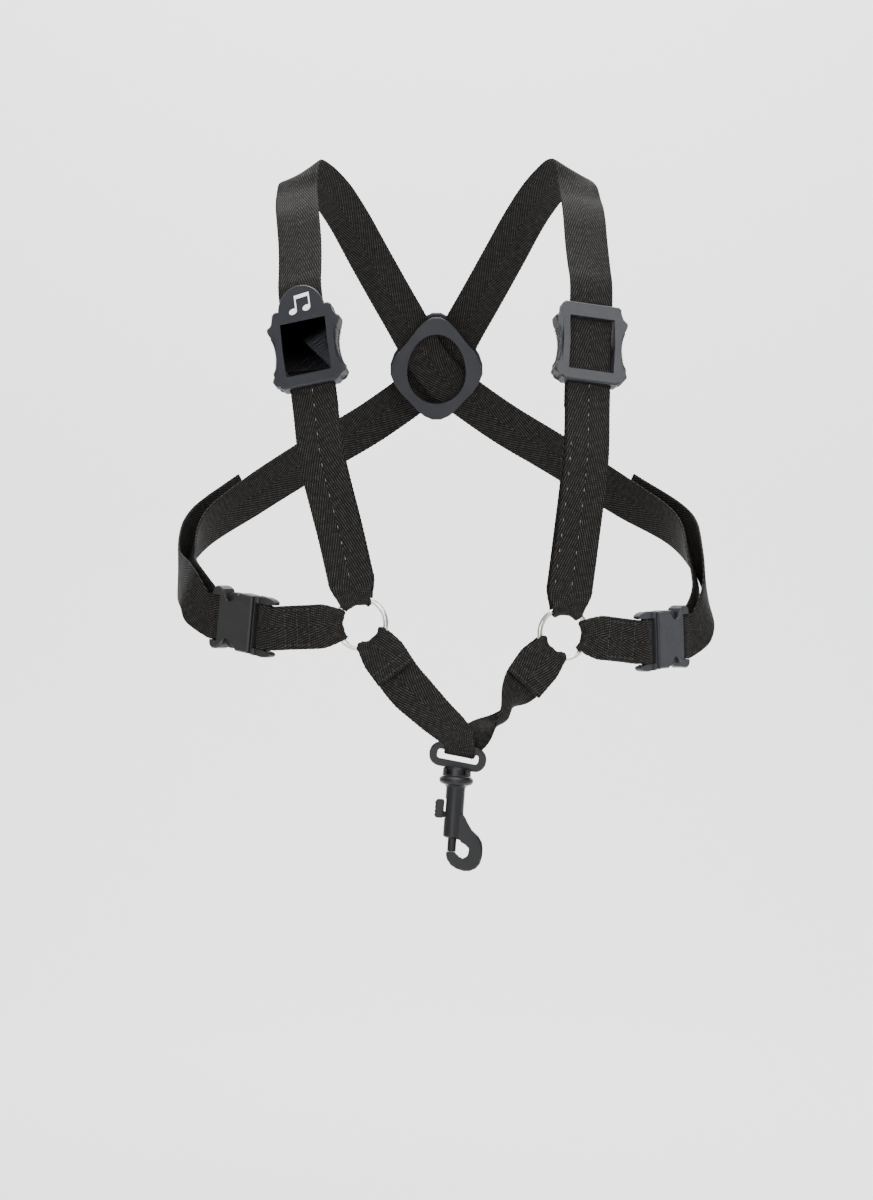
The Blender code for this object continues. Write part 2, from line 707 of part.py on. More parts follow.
def eye_frame():
    """Centre of the eye's top bar, along it, up and outward."""
    tilt = math.radians(-11.0)
    right = V((math.cos(tilt), 0, math.sin(tilt)))
    up = V((-math.sin(tilt), 0, math.cos(tilt)))
    return V(EYE_POS), right, up, right.cross(up)


def v_strap():
    """Lower strap: sewn round the left ring, in front of the eye's bar, through its
    slot, up behind with half a turn, and sewn round the right ring."""
    ec, eright, eup, en = eye_frame()
    rows = []
    hr = 9.8
    # left ring
    c, d, a, n = ring_dir(-1, 306)
    ea = a if a.x > 0 else -a
    wide = 12.2
    flap_end = c + d * (RING_R + 20.5) + n * 1.9
    rows += route_rows([flap_end, c + d * (RING_R + 15.5) + n * 2.3,
                        c + d * (RING_R + 11) + n * FOLD_R], [ea, ea, ea], 4, wide)
    for t in (7.5, 4.0, 1.8):
        k = (t / 7.5) ** 2 * (3 - 2 * t / 7.5)
        rows.append(row(c + d * (RING_R + t) + n * FOLD_R, ea, wide, d, k, hr))
    rows += ring_fold(c, d, ea, n, hr, True)
    for t in (1.8, 4.0, 7.5):
        k = (t / 7.5) ** 2 * (3 - 2 * t / 7.5)
        rows.append(row(c + d * (RING_R + t) - n * FOLD_R, ea, wide, d, k, hr))
    front = ec + en * EYE_FOLD_R
    into = (front - (c + d * (RING_R + 11) - n * FOLD_R)).normalized()
    l1 = c + d * (RING_R + 11) - n * FOLD_R
    l2 = c + d * (RING_R + 27) - n * 0.9
    narrow = 8.4
    axis = eright
    rows += route_rows([l1, l2, (l2 + front) * 0.5 + eup * 2.0 + en * 0.4,
                        front + eup * 6.0 - eright * 2.2, front + eup * 0.5],
                       [ea, ea, (ea + axis) * 0.5, axis, axis], 12, [(0, wide), (0.35, wide), (1, narrow)])
    # round the eye's bar, front to back through the slot
    for i in range(1, 8):
        phi = math.pi * i / 8
        p = ec - eup * EYE_FOLD_R * math.sin(phi) + en * EYE_FOLD_R * math.cos(phi)
        rows.append(row(p + eright * (0.15 * i), axis, narrow))
    # right leg with half a turn
    c2, d2, a2, n2 = ring_dir(1, 229)
    ra = a2 if a2.z < 0 else -a2
    back = ec - en * EYE_FOLD_R + eright * 1.2
    r_end = c2 + d2 * (RING_R + 11) - n2 * FOLD_R
    r27 = c2 + d2 * (RING_R + 29) - n2 * 0.9
    leg = V((32.7, -109.5, -314.2))
    pts = [back + eup * 0.5, back + eup * 6.5 + eright * 5.0 - en * 0.5, leg, r27, r_end]
    pos, frac = spline(pts, 26)
    start_a = axis
    leg_rows = []
    for i, p in enumerate(pos):
        t = V(pos[min(i + 1, 25)] - pos[max(i - 1, 0)]).normalized()
        f = frac[i]
        base = (start_a - t * start_a.dot(t)).normalized()
        end = (-ra - t * (-ra).dot(t)).normalized()
        k = min(1.0, max(0.0, (f - 0.1) / 0.72))
        k = 0.6 * k + 0.4 * k * k * (3 - 2 * k)
        total = signed_angle(base, end, t)
        if total > 0:
            total -= 2 * math.pi
        ang = total * k
        ax = Matrix.Rotation(ang, 3, t) @ base
        # the band curls into a gutter where it turns over, so it is never seen edge-on
        curl = math.exp(-((f - 0.46) / 0.15) ** 2)
        h = lerp_keys(f, [(0, narrow), (0.3, narrow), (0.65, 11.0), (1, wide)]) * (1 - 0.45 * curl)
        gutter = t.cross(ax) * (6.0 * curl)
        leg_rows.append([q + gutter * (1 - u * u) for q, u in zip(row(p, ax, h), ACROSS)])
    rows += leg_rows
    for t in (7.5, 4.0, 1.8):
        k = (t / 7.5) ** 2 * (3 - 2 * t / 7.5)
        rows.append(row(c2 + d2 * (RING_R + t) - n2 * FOLD_R, -ra, wide, d2, k, hr))
    rows += ring_fold(c2, d2, -ra, n2, hr, False)
    for t in (1.8, 4.0, 7.5):
        k = (t / 7.5) ** 2 * (3 - 2 * t / 7.5)
        rows.append(row(c2 + d2 * (RING_R + t) + n2 * FOLD_R, -ra, wide, d2, k, hr))
    rows += route_rows([c2 + d2 * (RING_R + 11) + n2 * FOLD_R, c2 + d2 * (RING_R + 17) + n2 * 2.2,
                        c2 + d2 * (RING_R + 23) + n2 * 1.8], [-ra, -ra, -ra], 4, wide)
    return add_object("strap_lower_v", band_bm(rows, WEB_T), webbing_mat(), smooth=True)


def signed_angle(a, b, axis):
    return math.atan2(axis.dot(a.cross(b)), a.dot(b))


def hook_frame():
    """Top of the hook's shank, right, outward and up along the shank."""
    ec, eright, eup, en = eye_frame()
    lean = math.radians(4.0)
    up = V((math.sin(lean), 0, math.cos(lean)))
    right = V((math.cos(lean), 0, -math.sin(lean)))
    return ec - eup * 19.6 + eright * 1.9, right, up, right.cross(up)


def hook_eye():
    """Loop the lower strap passes through, with its swivel stem and head."""
    ec, eright, eup, en = eye_frame()
    hc, hright, hup, hn = hook_frame()
    m = frame_matrix(ec, eright, eup, en)
    mh = frame_matrix(hc, hright, -hn, hup)
    out = [(x, y - 4.75) for x, y in stadium(EYE_W, 13.5, 6.2)]
    body = add_object("hook_eye", prism_bm(out, -1.75, 1.75, m, bevel=0.9), hook_mat())
    skirt = revolve_bm([(0, 9.4), (6.4, 9.4), (7.9, 8.2), (8.0, 4.4), (2.5, 4.4), (2.5, -3.2), (3.5, -3.2),
                        (3.5, -5.6), (0, -5.6)], 24, mh)
    tool = add_object("skirt", skirt, hook_mat())
    boolean(body, [tool], "UNION")
    slot = [(x, y - 4.6) for x, y in stadium(23.0, 5.2, 1.6)]
    cut = add_object("slot", prism_bm(slot, -12, 12, m), hook_mat())
    boolean(body, [cut])
    set_origin(body, ec)
    return body


def hook_body():
    """Hook with its shank, swivel socket, spring chamber and thumb slot."""
    hc, hright, hup, hn = hook_frame()
    m = frame_matrix(hc, hright, hup, hn)
    mh = frame_matrix(hc, hright, -hn, hup)
    shank = revolve_bm([(0, 4.0), (8.2, 4.0), (9.45, 2.8), (9.45, 1.2), (8.6, 0.0), (5.9, -1.0),
                        (SHANK_R, -2.4), (SHANK_R, -29.0), (4.2, -30.0), (0, -30.0)], 24, mh)
    body = add_object("hook_body", shank, hook_mat())
    arm = [(0.6, -16.0), (4.9, -16.0), (5.4, -18.6), (7.2, -22.0), (10.8, -25.2), (14.6, -28.4), (16.6, -31.4),
           (17.3, -35.0), (17.2, -39.4), (16.2, -43.2), (14.0, -46.0), (10.8, -47.6), (7.4, -47.8),
           (3.4, -46.8), (0.0, -44.9), (-2.3, -41.8), (-2.9, -39.6), (-2.9, -37.9), (2.35, -37.9),
           (2.6, -39.8), (3.8, -41.3), (6.0, -42.0), (8.6, -41.6), (10.1, -39.8), (10.7, -36.4),
           (10.2, -34.2), (7.8, -32.2), (5.2, -30.9), (3.0, -30.6), (0.6, -29.6)]
    tool = add_object("arm", prism_bm(arm[::-1], -4.2, 4.2, m, bevel=1.1), hook_mat())
    boolean(body, [tool], "UNION")
    cuts = [add_object("socket", revolve_bm([(0, 5.0), (2.9, 5.0), (2.9, -2.7), (3.9, -2.8), (3.9, -6.1),
                                             (0, -6.2)], 20, mh), hook_mat()),
            add_object("bore", revolve_bm([(0, -7.6), (2.8, -7.6), (2.8, -31.0), (0, -31.0)], 20, mh),
                       hook_mat()),
            add_object("thumb_slot", box_bm((-8.0, -19.5, -1.9), (0.0, -8.4, 1.9), m), hook_mat()),
            add_object("pin_hole", revolve_bm([(0, -38), (0.95, -38), (0.95, -46.2), (0, -46.2)], 12,
                                              mh @ Matrix.Translation((6.4, 0, 0))), hook_mat())]
    boolean(body, cuts)
    set_origin(body, hc)
    return body


def hook_bolt():
    """Sliding gate with a blind spring bore and the thumb tab."""
    hc, hright, hup, hn = hook_frame()
    m = frame_matrix(hc, hright, hup, hn)
    mh = frame_matrix(hc, hright, -hn, hup)
    body = add_object("hook_bolt", revolve_bm([(0, -14.8), (BOLT_R, -14.8), (BOLT_R, -37.2), (2.1, -37.6),
                                               (0, -37.6)], 18, mh), hook_mat())
    neck = add_object("neck", box_bm((-6.6, -19.0, -1.5), (-0.4, -15.6, 1.5), m), hook_mat())
    tab = [(-10.6, -10.2), (-9.6, -9.0), (-6.6, -8.9), (-5.75, -9.7), (-5.75, -18.6), (-6.5, -19.4),
           (-9.8, -19.4), (-10.6, -18.6)]
    thumb = add_object("thumb", prism_bm(tab[::-1], -2.6, 2.6, m, bevel=0.5), hook_mat())
    boolean(body, [neck, thumb], "UNION")
    cut = add_object("bore", revolve_bm([(0, -13.0), (1.5, -13.0), (1.5, -17.2), (0, -17.2)], 16, mh), hook_mat())
    boolean(body, [cut])
    set_origin(body, hc)
    return body


def hook_spring():
    """Return spring above the bolt."""
    hc, hright, hup, hn = hook_frame()
    mh = frame_matrix(hc, hright, -hn, hup)
    turns, steps = 6.0, 12
    top, low = -8.1, -16.8
    pts = []
    total = int(turns * steps)
    for i in range(total + 1):
        a = 2 * math.pi * i / steps
        pts.append((1.0 * math.cos(a), 1.0 * math.sin(a), top + (low - top) * i / total))
    return add_object("hook_spring", tube_bm(pts, 0.22, 5, mh), spring_mat(), True, hc)


def hook_pin():
    """Steel wear pin set in the bottom of the hook."""
    hc, hright, hup, hn = hook_frame()
    mh = frame_matrix(hc, hright, -hn, hup) @ Matrix.Translation((6.4, 0, 0))
    bm = revolve_bm([(0, -40.4), (0.5, -40.5), (0.9, -41.0), (0.92, -41.6), (0.92, -46.0), (0, -46.1)][:0]
                    + [(0, -40.6), (0.45, -40.7), (0.65, -41.2), (0.65, -45.8), (0, -45.9)], 12, mh)
    return add_object("hook_wear_pin", bm, nickel_mat(), True)


# ---------------------------------------------------------------- back guide

def cross_guide():
    """Moulded keeper where the two straps cross behind the shoulders: an outer plate,
    an inner frame and four posts that stand in the gaps between the straps."""
    slope = V((0, -0.24, 1)).normalized()
    m = frame_matrix(V(GUIDE_POS), (-1, 0, 0), slope, V((-1, 0, 0)).cross(slope))
    out, inner, hole = [], [], []
    for i in range(32):
        a = 2 * math.pi * (i + 0.5) / 32
        k = 1.0 + 0.08 * math.cos(4 * a)
        tall = 33.0 if math.sin(a) > 0 else 28.0
        out.append((26.5 * k * math.cos(a), tall * k * math.sin(a)))
        inner.append((25.5 * k * math.cos(a), (tall - 1) * k * math.sin(a)))
        hole.append((18.0 * math.cos(a), (tall - 9) * math.sin(a)))
    body = add_object("cross_guide", prism_bm(out, 4.9, 7.4, m, bevel=0.8), slate_mat())
    parts = [add_object("inner", prism_bm(inner, -7.2, -5.4, m, bevel=0.5), slate_mat())]
    for x, y in ((-24.5, 0), (24.5, 0), (0, 31.0), (0, -26.0)):
        post = revolve_bm([(0, -6.6), (1.9, -6.6), (1.9, 5.6), (0, 5.6)], 12, m @ Matrix.Translation((x, y, 0)))
        parts.append(add_object("post", post, slate_mat()))
    boolean(body, parts, "UNION")
    boolean(body, [add_object("hole", prism_bm(hole, -9.0, -4.0, m), slate_mat())])
    set_origin(body, GUIDE_POS)
    return body


def build():
    clear_scene()
    for side in (-1, 1):
        long_strap(side)
        slider(side)
        slider_loop(side)
        ring(side)
        chest_tab(side)
        female(side)
        male(side)
        tine(side, 1)
        tine(side, -1)
    v_strap()
    hook_eye()
    hook_body()
    hook_bolt()
    hook_spring()
    hook_pin()
    cross_guide()


build()
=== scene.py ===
"""Saxophone shoulder harness: woven straps, sliders, rings, buckles and a swivel hook.

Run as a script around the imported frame.  Helper code works in millimetres and every
finished mesh is in metres, in the frame's own coordinates, +Z up and the front toward -Y.
"""
import math

import bmesh
import bpy
import numpy as np
from bpy.props import FloatProperty, FloatVectorProperty, IntProperty, PointerProperty
from mathutils import Matrix, Vector


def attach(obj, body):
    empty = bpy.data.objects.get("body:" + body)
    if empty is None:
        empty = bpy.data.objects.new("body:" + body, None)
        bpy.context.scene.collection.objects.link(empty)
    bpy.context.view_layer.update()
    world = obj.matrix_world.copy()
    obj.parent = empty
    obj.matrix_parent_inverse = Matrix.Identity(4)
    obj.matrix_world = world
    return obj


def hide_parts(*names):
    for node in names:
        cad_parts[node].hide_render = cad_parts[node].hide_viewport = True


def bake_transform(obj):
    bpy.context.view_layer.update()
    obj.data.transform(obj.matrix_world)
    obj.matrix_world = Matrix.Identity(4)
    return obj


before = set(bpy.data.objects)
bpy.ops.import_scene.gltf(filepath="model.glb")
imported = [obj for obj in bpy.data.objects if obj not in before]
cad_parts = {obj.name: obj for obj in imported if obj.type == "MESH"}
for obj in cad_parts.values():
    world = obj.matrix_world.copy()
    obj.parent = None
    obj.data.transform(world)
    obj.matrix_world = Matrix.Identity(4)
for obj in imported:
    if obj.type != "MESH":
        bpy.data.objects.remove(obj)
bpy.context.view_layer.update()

bl_info = {
    "name": "Saxophone Shoulder Harness",
    "version": (1, 0, 0),
    "blender": (4, 5, 0),
    "location": "3D View > Sidebar > Harness",
    "description": "Builds a woven saxophone shoulder harness around its packed frame",
    "category": "Object",
}

MM = 0.001
V = Vector
SIDES = ((-1, "left"), (1, "right"))

# webbing and hardware sizes, in millimetres, as in the frame
WEB_W = 25.4
WEB_T = 1.5
LOOP_T = 1.2
RING_R = 14.0
WIRE_R = 1.5
FOLD_R = 2.65
BK_L = 35.5
EYE_FOLD_R = 3.75
# placements, in millimetres
RING_L = (-41.9, -109.0, -263.1)
RING_R_POS = (70.8, -102.4, -268.8)
SLIDER_L = (-72.6, -83.6, -109.0)
SLIDER_R = (86.4, -79.0, -107.0)
MOUTH_L = (-101.6, -86.0, -264.0)
MOUTH_R = (122.4, -67.5, -273.0)
EYE_POS = (12.7, -114.0, -332.2)

CHEST_Z = [0, -30, -60, -100, -150, -200, -250, -300, -350]
CHEST_F = [0, 45, 65, 82, 95, 104, 107, 104, 100]

ACROSS = (-1.0, -0.5, 0.0, 0.5, 1.0)


# ------------------------------------------------------------------ routes
# A row is five points across a strap, on its middle surface.

def chest_y(x, z, off=0.0):
    """Front of a wearer's chest at (x, z), moved out by off."""
    f = float(np.interp(-z, [-v for v in CHEST_Z], CHEST_F))
    t = max(0.0, 1.0 - abs(x / 148.0) ** 2.3)
    return -(f * t ** (1 / 2.3)) - off


def on_chest(x, z, off):
    return V((x, chest_y(x, z, off), z))


def frame_matrix(origin, ax, ay, az):
    m = Matrix.Identity(4)
    for i, a in enumerate((V(ax).normalized(), V(ay).normalized(), V(az).normalized())):
        m[0][i], m[1][i], m[2][i] = a
    m[0][3], m[1][3], m[2][3] = V(origin)
    return m


def row(p, a, half, drop=None, s=1.0, half_ring=None):
    """Five points across the strap at p.  Near a ring the row keeps the ring's curve."""
    p, a = V(p), V(a).normalized()
    out = []
    for u in ACROSS:
        v = half * u
        q = p.copy()
        if half_ring is not None and s < 1.0:
            ang = math.asin(half_ring / RING_R) * u
            v = (1 - s) * RING_R * math.sin(ang) + s * half * u
            q = q - V(drop) * ((1 - s) * RING_R * (1 - math.cos(ang)))
        out.append(q + a * v)
    return out


def ring_fold(c, d, a, n, half, front_to_back, steps=8):
    """Rows round the ring wire, from the leg on one side through the hole to the other."""
    rows = []
    amax = math.asin(half / RING_R)
    for i in range(steps + 1):
        phi = math.pi * i / steps
        if not front_to_back:
            phi = math.pi - phi
        r = []
        for u in ACROSS:
            ang = amax * u
            rad = d * math.cos(ang) + a * math.sin(ang)
            r.append(c + rad * (RING_R - FOLD_R * math.sin(phi)) + n * FOLD_R * math.cos(phi))
        rows.append(r)
    return rows


def bar_fold(c, inward, n, a, half, radius, start_front, steps=6):
    """Half turn round a straight bar.  inward points from the strap toward the bar."""
    rows = []
    for i in range(steps + 1):
        phi = math.pi * i / steps
        if not start_front:
            phi = math.pi - phi
        p = c + inward * radius * math.sin(phi) + n * radius * math.cos(phi)
        rows.append(row(p, a, half))
    return rows


def spline(points, count):
    """Evenly spaced points and tangents on a Catmull-Rom curve."""
    p = np.array([list(q) for q in points], float)
    ext = np.vstack([2 * p[0] - p[1], p, 2 * p[-1] - p[-2]])
    dense = []
    for i in range(1, len(ext) - 2):
        p0, p1, p2, p3 = ext[i - 1:i + 3]
        d01 = max(np.linalg.norm(p1 - p0), 1e-6) ** 0.5
        d12 = max(np.linalg.norm(p2 - p1), 1e-6) ** 0.5
        d23 = max(np.linalg.norm(p3 - p2), 1e-6) ** 0.5
        m1 = (p2 - p1 + d12 * ((p1 - p0) / d01 - (p2 - p0) / (d01 + d12)))
        m2 = (p2 - p1 + d12 * ((p3 - p2) / d23 - (p3 - p1) / (d12 + d23)))
        for t in np.linspace(0, 1, 24, endpoint=False):
            dense.append((2 * t ** 3 - 3 * t ** 2 + 1) * p1 + (t ** 3 - 2 * t ** 2 + t) * m1
                         + (3 * t ** 2 - 2 * t ** 3) * p2 + (t ** 3 - t ** 2) * m2)
    dense.append(p[-1])
    dense = np.array(dense)
    s = np.concatenate([[0], np.cumsum(np.linalg.norm(np.diff(dense, axis=0), axis=1))])
    at = np.linspace(0, s[-1], count)
    pos = np.stack([np.interp(at, s, dense[:, i]) for i in range(3)], axis=1)
    return pos, at / s[-1]


def lerp_keys(t, keys):
    """Vector or number read from (t, value) keys."""
    for (t0, v0), (t1, v1) in zip(keys[:-1], keys[1:]):
        if t <= t1:
            k = (t - t0) / (t1 - t0)
            return v0 * (1 - k) + v1 * k
    return keys[-1][1]


def signed_angle(a, b, axis):
    return math.atan2(axis.dot(a.cross(b)), a.dot(b))


def route_rows(points, acrosses, count, half):
    """Rows along a curve, the across direction read off one vector per point."""
    pts = [V(p) for p in points]
    pos, frac = spline(pts, count)
    seg = [0.0]
    for a, b in zip(pts[:-1], pts[1:]):
        seg.append(seg[-1] + (b - a).length)
    keys = [(s / seg[-1], V(a).normalized()) for s, a in zip(seg, acrosses)]
    rows = []
    for i, p in enumerate(pos):
        t = V(pos[min(i + 1, count - 1)] - pos[max(i - 1, 0)]).normalized()
        a = lerp_keys(frac[i], keys)
        a = (a - t * a.dot(t)).normalized()
        h = half if not isinstance(half, list) else lerp_keys(frac[i], half)
        rows.append(row(p, a, h))
    return rows


def ring_frame(side):
    """Centre, right, up and outward of a ring."""
    yaw = math.radians(10 if side < 0 else 17) * side
    right = V((math.cos(yaw), math.sin(yaw), 0.0))
    up = V((0, 0, 1))
    n = right.cross(up)
    c = V(RING_L if side < 0 else RING_R_POS)
    return c, right, up, n


def ring_dir(side, degrees):
    c, right, up, n = ring_frame(side)
    a = math.radians(degrees)
    d = right * math.cos(a) + up * math.sin(a)
    return c, d, n.cross(d), n


def slider_frame(side):
    """Centre, across, down-strap and outward of a slider."""
    if side < 0:
        t = V((8.6, -21.7, -64.2)).normalized()
        a = V((math.cos(0.24), -math.sin(0.24), 0))
    else:
        t = V((-2.4, -20.5, -64.2)).normalized()
        a = V((math.cos(0.28), math.sin(0.28), 0))
    a = (a - t * a.dot(t)).normalized()
    return V(SLIDER_L if side < 0 else SLIDER_R), a, t, t.cross(a)


def buckle_frame(side):
    """Mouth centre, toward the strap end, across and outward of a buckle."""
    if side < 0:
        yaw, rise = math.radians(48), math.radians(8)
        along = V((-math.cos(yaw) * math.cos(rise), math.sin(yaw) * math.cos(rise), math.sin(rise)))
        c = V(MOUTH_L)
    else:
        yaw, rise = math.radians(57), math.radians(3.6)
        along = V((math.cos(yaw) * math.cos(rise), math.sin(yaw) * math.cos(rise), math.sin(rise)))
        c = V(MOUTH_R)
    w = (V((0, 0, 1)) - along * along.z).normalized()
    n = along.cross(w) if side < 0 else w.cross(along)
    if n.y > 0:
        n = -n
    return c, along, w, n


def eye_frame():
    """Centre of the eye's top bar, along it, up and outward."""
    tilt = math.radians(-11.0)
    right = V((math.cos(tilt), 0, math.sin(tilt)))
    up = V((-math.sin(tilt), 0, math.cos(tilt)))
    return V(EYE_POS), right, up, right.cross(up)


def hook_frame():
    """Top of the hook's shank, right, outward and up along the shank."""
    ec, eright, eup, en = eye_frame()
    lean = math.radians(4.0)
    up = V((math.sin(lean), 0, math.cos(lean)))
    right = V((math.cos(lean), 0, -math.sin(lean)))
    return ec - eup * 19.6 + eright * 1.9, right, up, right.cross(up)


def back_points(side):
    """Route from the shoulder over the back, round the far side to its buckle."""
    s = side
    lift = 0.0 if s < 0 else 4.6
    return [V((s * 66, 22, -5)), V((s * 54, 43, -20)), V((s * 40, 62, -44)),
            V((s * 20, 82 + lift, -78)), V((0, 92 + lift, -110)),
            V((-s * 34, 96 + lift * 0.8, -137)), V((-s * 74, 88, -162)),
            V((-s * 111, 64, -187))]


def front_keys(side):
    """(x, z, offset from the chest) of the front of a shoulder strap, top to bottom."""
    if side < 0:
        return [(-78.9, -0.2, 0), (-81.2, -13.5, 0.9), (-80.1, -26.2, 1.2), (-77.9, -48.5, 2.2)]
    return [(78.9, 1.2, 0), (83.0, -13.5, 0.9), (84.7, -26.1, 1.2), (85.9, -48.3, 2.2)]


def long_strap_rows(side):
    """Rows of a shoulder strap: slider, ring, slider, shoulder, back, buckle and tail."""
    theta = 103 if side < 0 else 82
    c, d, a, n = ring_dir(side, theta)
    sc, sa, st, sn = slider_frame(side)
    half = WEB_W / 2
    ra = -a  # across runs toward +x like the slider's
    lower = 34.0
    rows = []
    # back layer, from its end under the slider down to the ring
    top_end = sc + st * 15.0 - sn * 3.9
    back_mid = sc + st * 62.0 - sn * 4.4
    start = c + d * (RING_R + 14.0) - n * FOLD_R
    keys = [top_end, sc + st * 32 - sn * 3.9, back_mid, start + d * 24 - n * 0.2, start]
    rows += route_rows(keys, [sa, sa, sa, ra, ra], 14, half)
    hr = 8.7
    for t in (9.5, 5.5, 2.5):
        k = t / 9.5
        k = k * k * (3 - 2 * k)
        rows.append(row(c + d * (RING_R + t) - n * FOLD_R, ra, half, d, k, hr))
    rows += ring_fold(c, d, ra, n, hr, False)
    for t in (2.5, 5.5, 9.5):
        k = t / 9.5
        k = k * k * (3 - 2 * k)
        rows.append(row(c + d * (RING_R + t) + n * FOLD_R, ra, half, d, k, hr))
    # front layer up to the slider, straight through it, then to the shoulder
    leg = c + d * (RING_R + 14.0) + n * FOLD_R
    keys = [leg, leg + d * 22 + n * 0.1, sc + st * 66 + sn * 0.1, sc + st * (lower + 4)]
    rows += route_rows(keys, [ra, ra, sa, sa], 9, half)
    rows.append(row(sc, sa, half))
    up_keys = [sc - st * (lower + 4)]
    for x, z, off in reversed(front_keys(side)[1:]):
        up_keys.append(on_chest(x, z, off))
    crest = V((side * 78.9, -3.0, 0.0 if side < 0 else 1.2))
    up_keys.append(crest)
    far = back_points(side)
    bc, along, bw, bn = buckle_frame(-side)
    bar = bc + along * (BK_L - 1.75)
    up = V((0, 0, 1))
    bend = bar + along * 12.0 - bn * 3.4 + up * 1.6
    # the strap climbs as soon as it leaves the buckle
    near = bar + along * 21 - bn * 2.0 + up * 11.5
    flank = V((-side * (150 if side < 0 else 145.5), 2, -231))
    wrap = V((-side * (142 if side < 0 else 138), 35, -209))
    pts = up_keys + far + [wrap, flank, near, bend]
    climb = [(up * 0.80 - V((0, 1, 0)) * 0.60) * -side, (up * 0.83 - along * 0.56) * -side,
             (up * 0.97 - along * 0.2) * -side]
    ridge = V((0.80 * side * -1, 0.10, 0.52)) * (-side)
    acr = [sa, V((1, -0.28 * -side, 0.02)), V((0.97, 0.2 * side, 0.10 * -side)),
           V((0.93, 0.16 * side, 0.26 * -side)), V((0.85, 0.12 * side, 0.5 * -side))]
    acr = acr[:len(up_keys) - 1] + [ridge]
    acr += [V((0.80, 0.30 * side, 0.45 * -side)), V((0.83, 0.30 * side, 0.42 * -side)),
            V((0.86, 0.2 * side, 0.46 * -side)), V((0.85, 0.114 * side, 0.52 * -side)),
            V((0.76, 0.03 * side, 0.65 * -side)), V((0.62, 0.12 * side, 0.78 * -side)),
            V((0.48, 0.3 * side, 0.87 * -side)), V((0.3, 0.42 * side, 0.88 * -side))] + climb
    rows += route_rows(pts, acr, 48, half)
    wa = bw * -side
    rows.append(row(bar + along * 5.5 - bn * 2.9, wa, half))
    rows += bar_fold(bar - along * 0.5, -along, bn, wa, half, 2.9, False, 8)
    tail0 = bar + bn * 2.9
    out = bn
    rows.append(row(tail0 + along * 5.5, wa, half))
    tail = [tail0 + along * 13.0 + up * 1.6 + out * 0.9, near + out * 6.8,
            flank + V((-side * 5.2, -2.0, 0.5)), wrap + V((-side * 5.2, 3.0, 1.0)),
            far[-1] + V((-side * 3.6, 5.0, 2.0))]
    rows += route_rows(tail, [climb[2], climb[1], climb[0], V((0.3, 0.42 * side, 0.88 * -side)),
                              V((0.48, 0.3 * side, 0.87 * -side))], 12, half)
    return rows


def end_loop_rows(side):
    """Rows of the sewn loop round a slider's centre bar."""
    sc, sa, st, sn = slider_frame(side)
    half = 12.4
    bar = sc - sn * 3.9
    rad = 2.25
    rows = [row(bar + st * t + sn * rad, sa, half) for t in (30, 17, 4)]
    rows += bar_fold(bar - st * 1.2, -st, sn, sa, half, rad, True)
    rows += [row(bar + st * t - sn * rad, sa, half) for t in (4, 20, 36)]
    return rows


def chest_tab_rows(side):
    """Rows of the doubled tab between a ring and a buckle's plug."""
    c, along, bw, bn = buckle_frame(side)
    rc, d, a, n = ring_dir(side, 184 if side < 0 else -6)
    half = WEB_W / 2 - 0.4
    if a.dot(bw) < 0:
        a = -a
    bar = c - along * 7.4
    leave = bar - along * 6.5
    target_front = rc + d * (RING_R + 12.0) + n * FOLD_R
    target_back = rc + d * (RING_R + 12.0) - n * FOLD_R
    rows = []
    hr = 9.0
    mid = (leave + (target_front + target_back) * 0.5) * 0.5
    out = (bn + n).normalized()
    # from one cut end on the body side, round the plug's bar and along the front
    rows += route_rows([leave.lerp(target_back, 0.36) - out * 1.2, leave - bn * 2.0,
                        bar - along * 3.0 - bn * 2.6], [bw, bw, bw], 5, half)
    rows += bar_fold(bar + along * 0.6, along, bn, bw, half, 2.6, False, 8)
    rows += route_rows([bar - along * 3.0 + bn * 2.6, leave + bn * 1.7, mid + out * 1.0, target_front],
                       [bw, bw, a, a], 9, half)
    for t in (8.0, 4.5, 2.0):
        k = t / 8.0
        k = k * k * (3 - 2 * k)
        rows.append(row(rc + d * (RING_R + t) + n * FOLD_R, a, half, d, k, hr))
    rows += ring_fold(rc, d, a, n, hr, True)
    for t in (2.0, 4.5, 8.0):
        k = t / 8.0
        k = k * k * (3 - 2 * k)
        rows.append(row(rc + d * (RING_R + t) - n * FOLD_R, a, half, d, k, hr))
    # back along the body side to the other cut end
    rows += route_rows([target_back, mid - out * 1.1, leave.lerp(target_back, 0.44) - out * 1.15],
                       [a, a, bw], 5, half)
    return rows


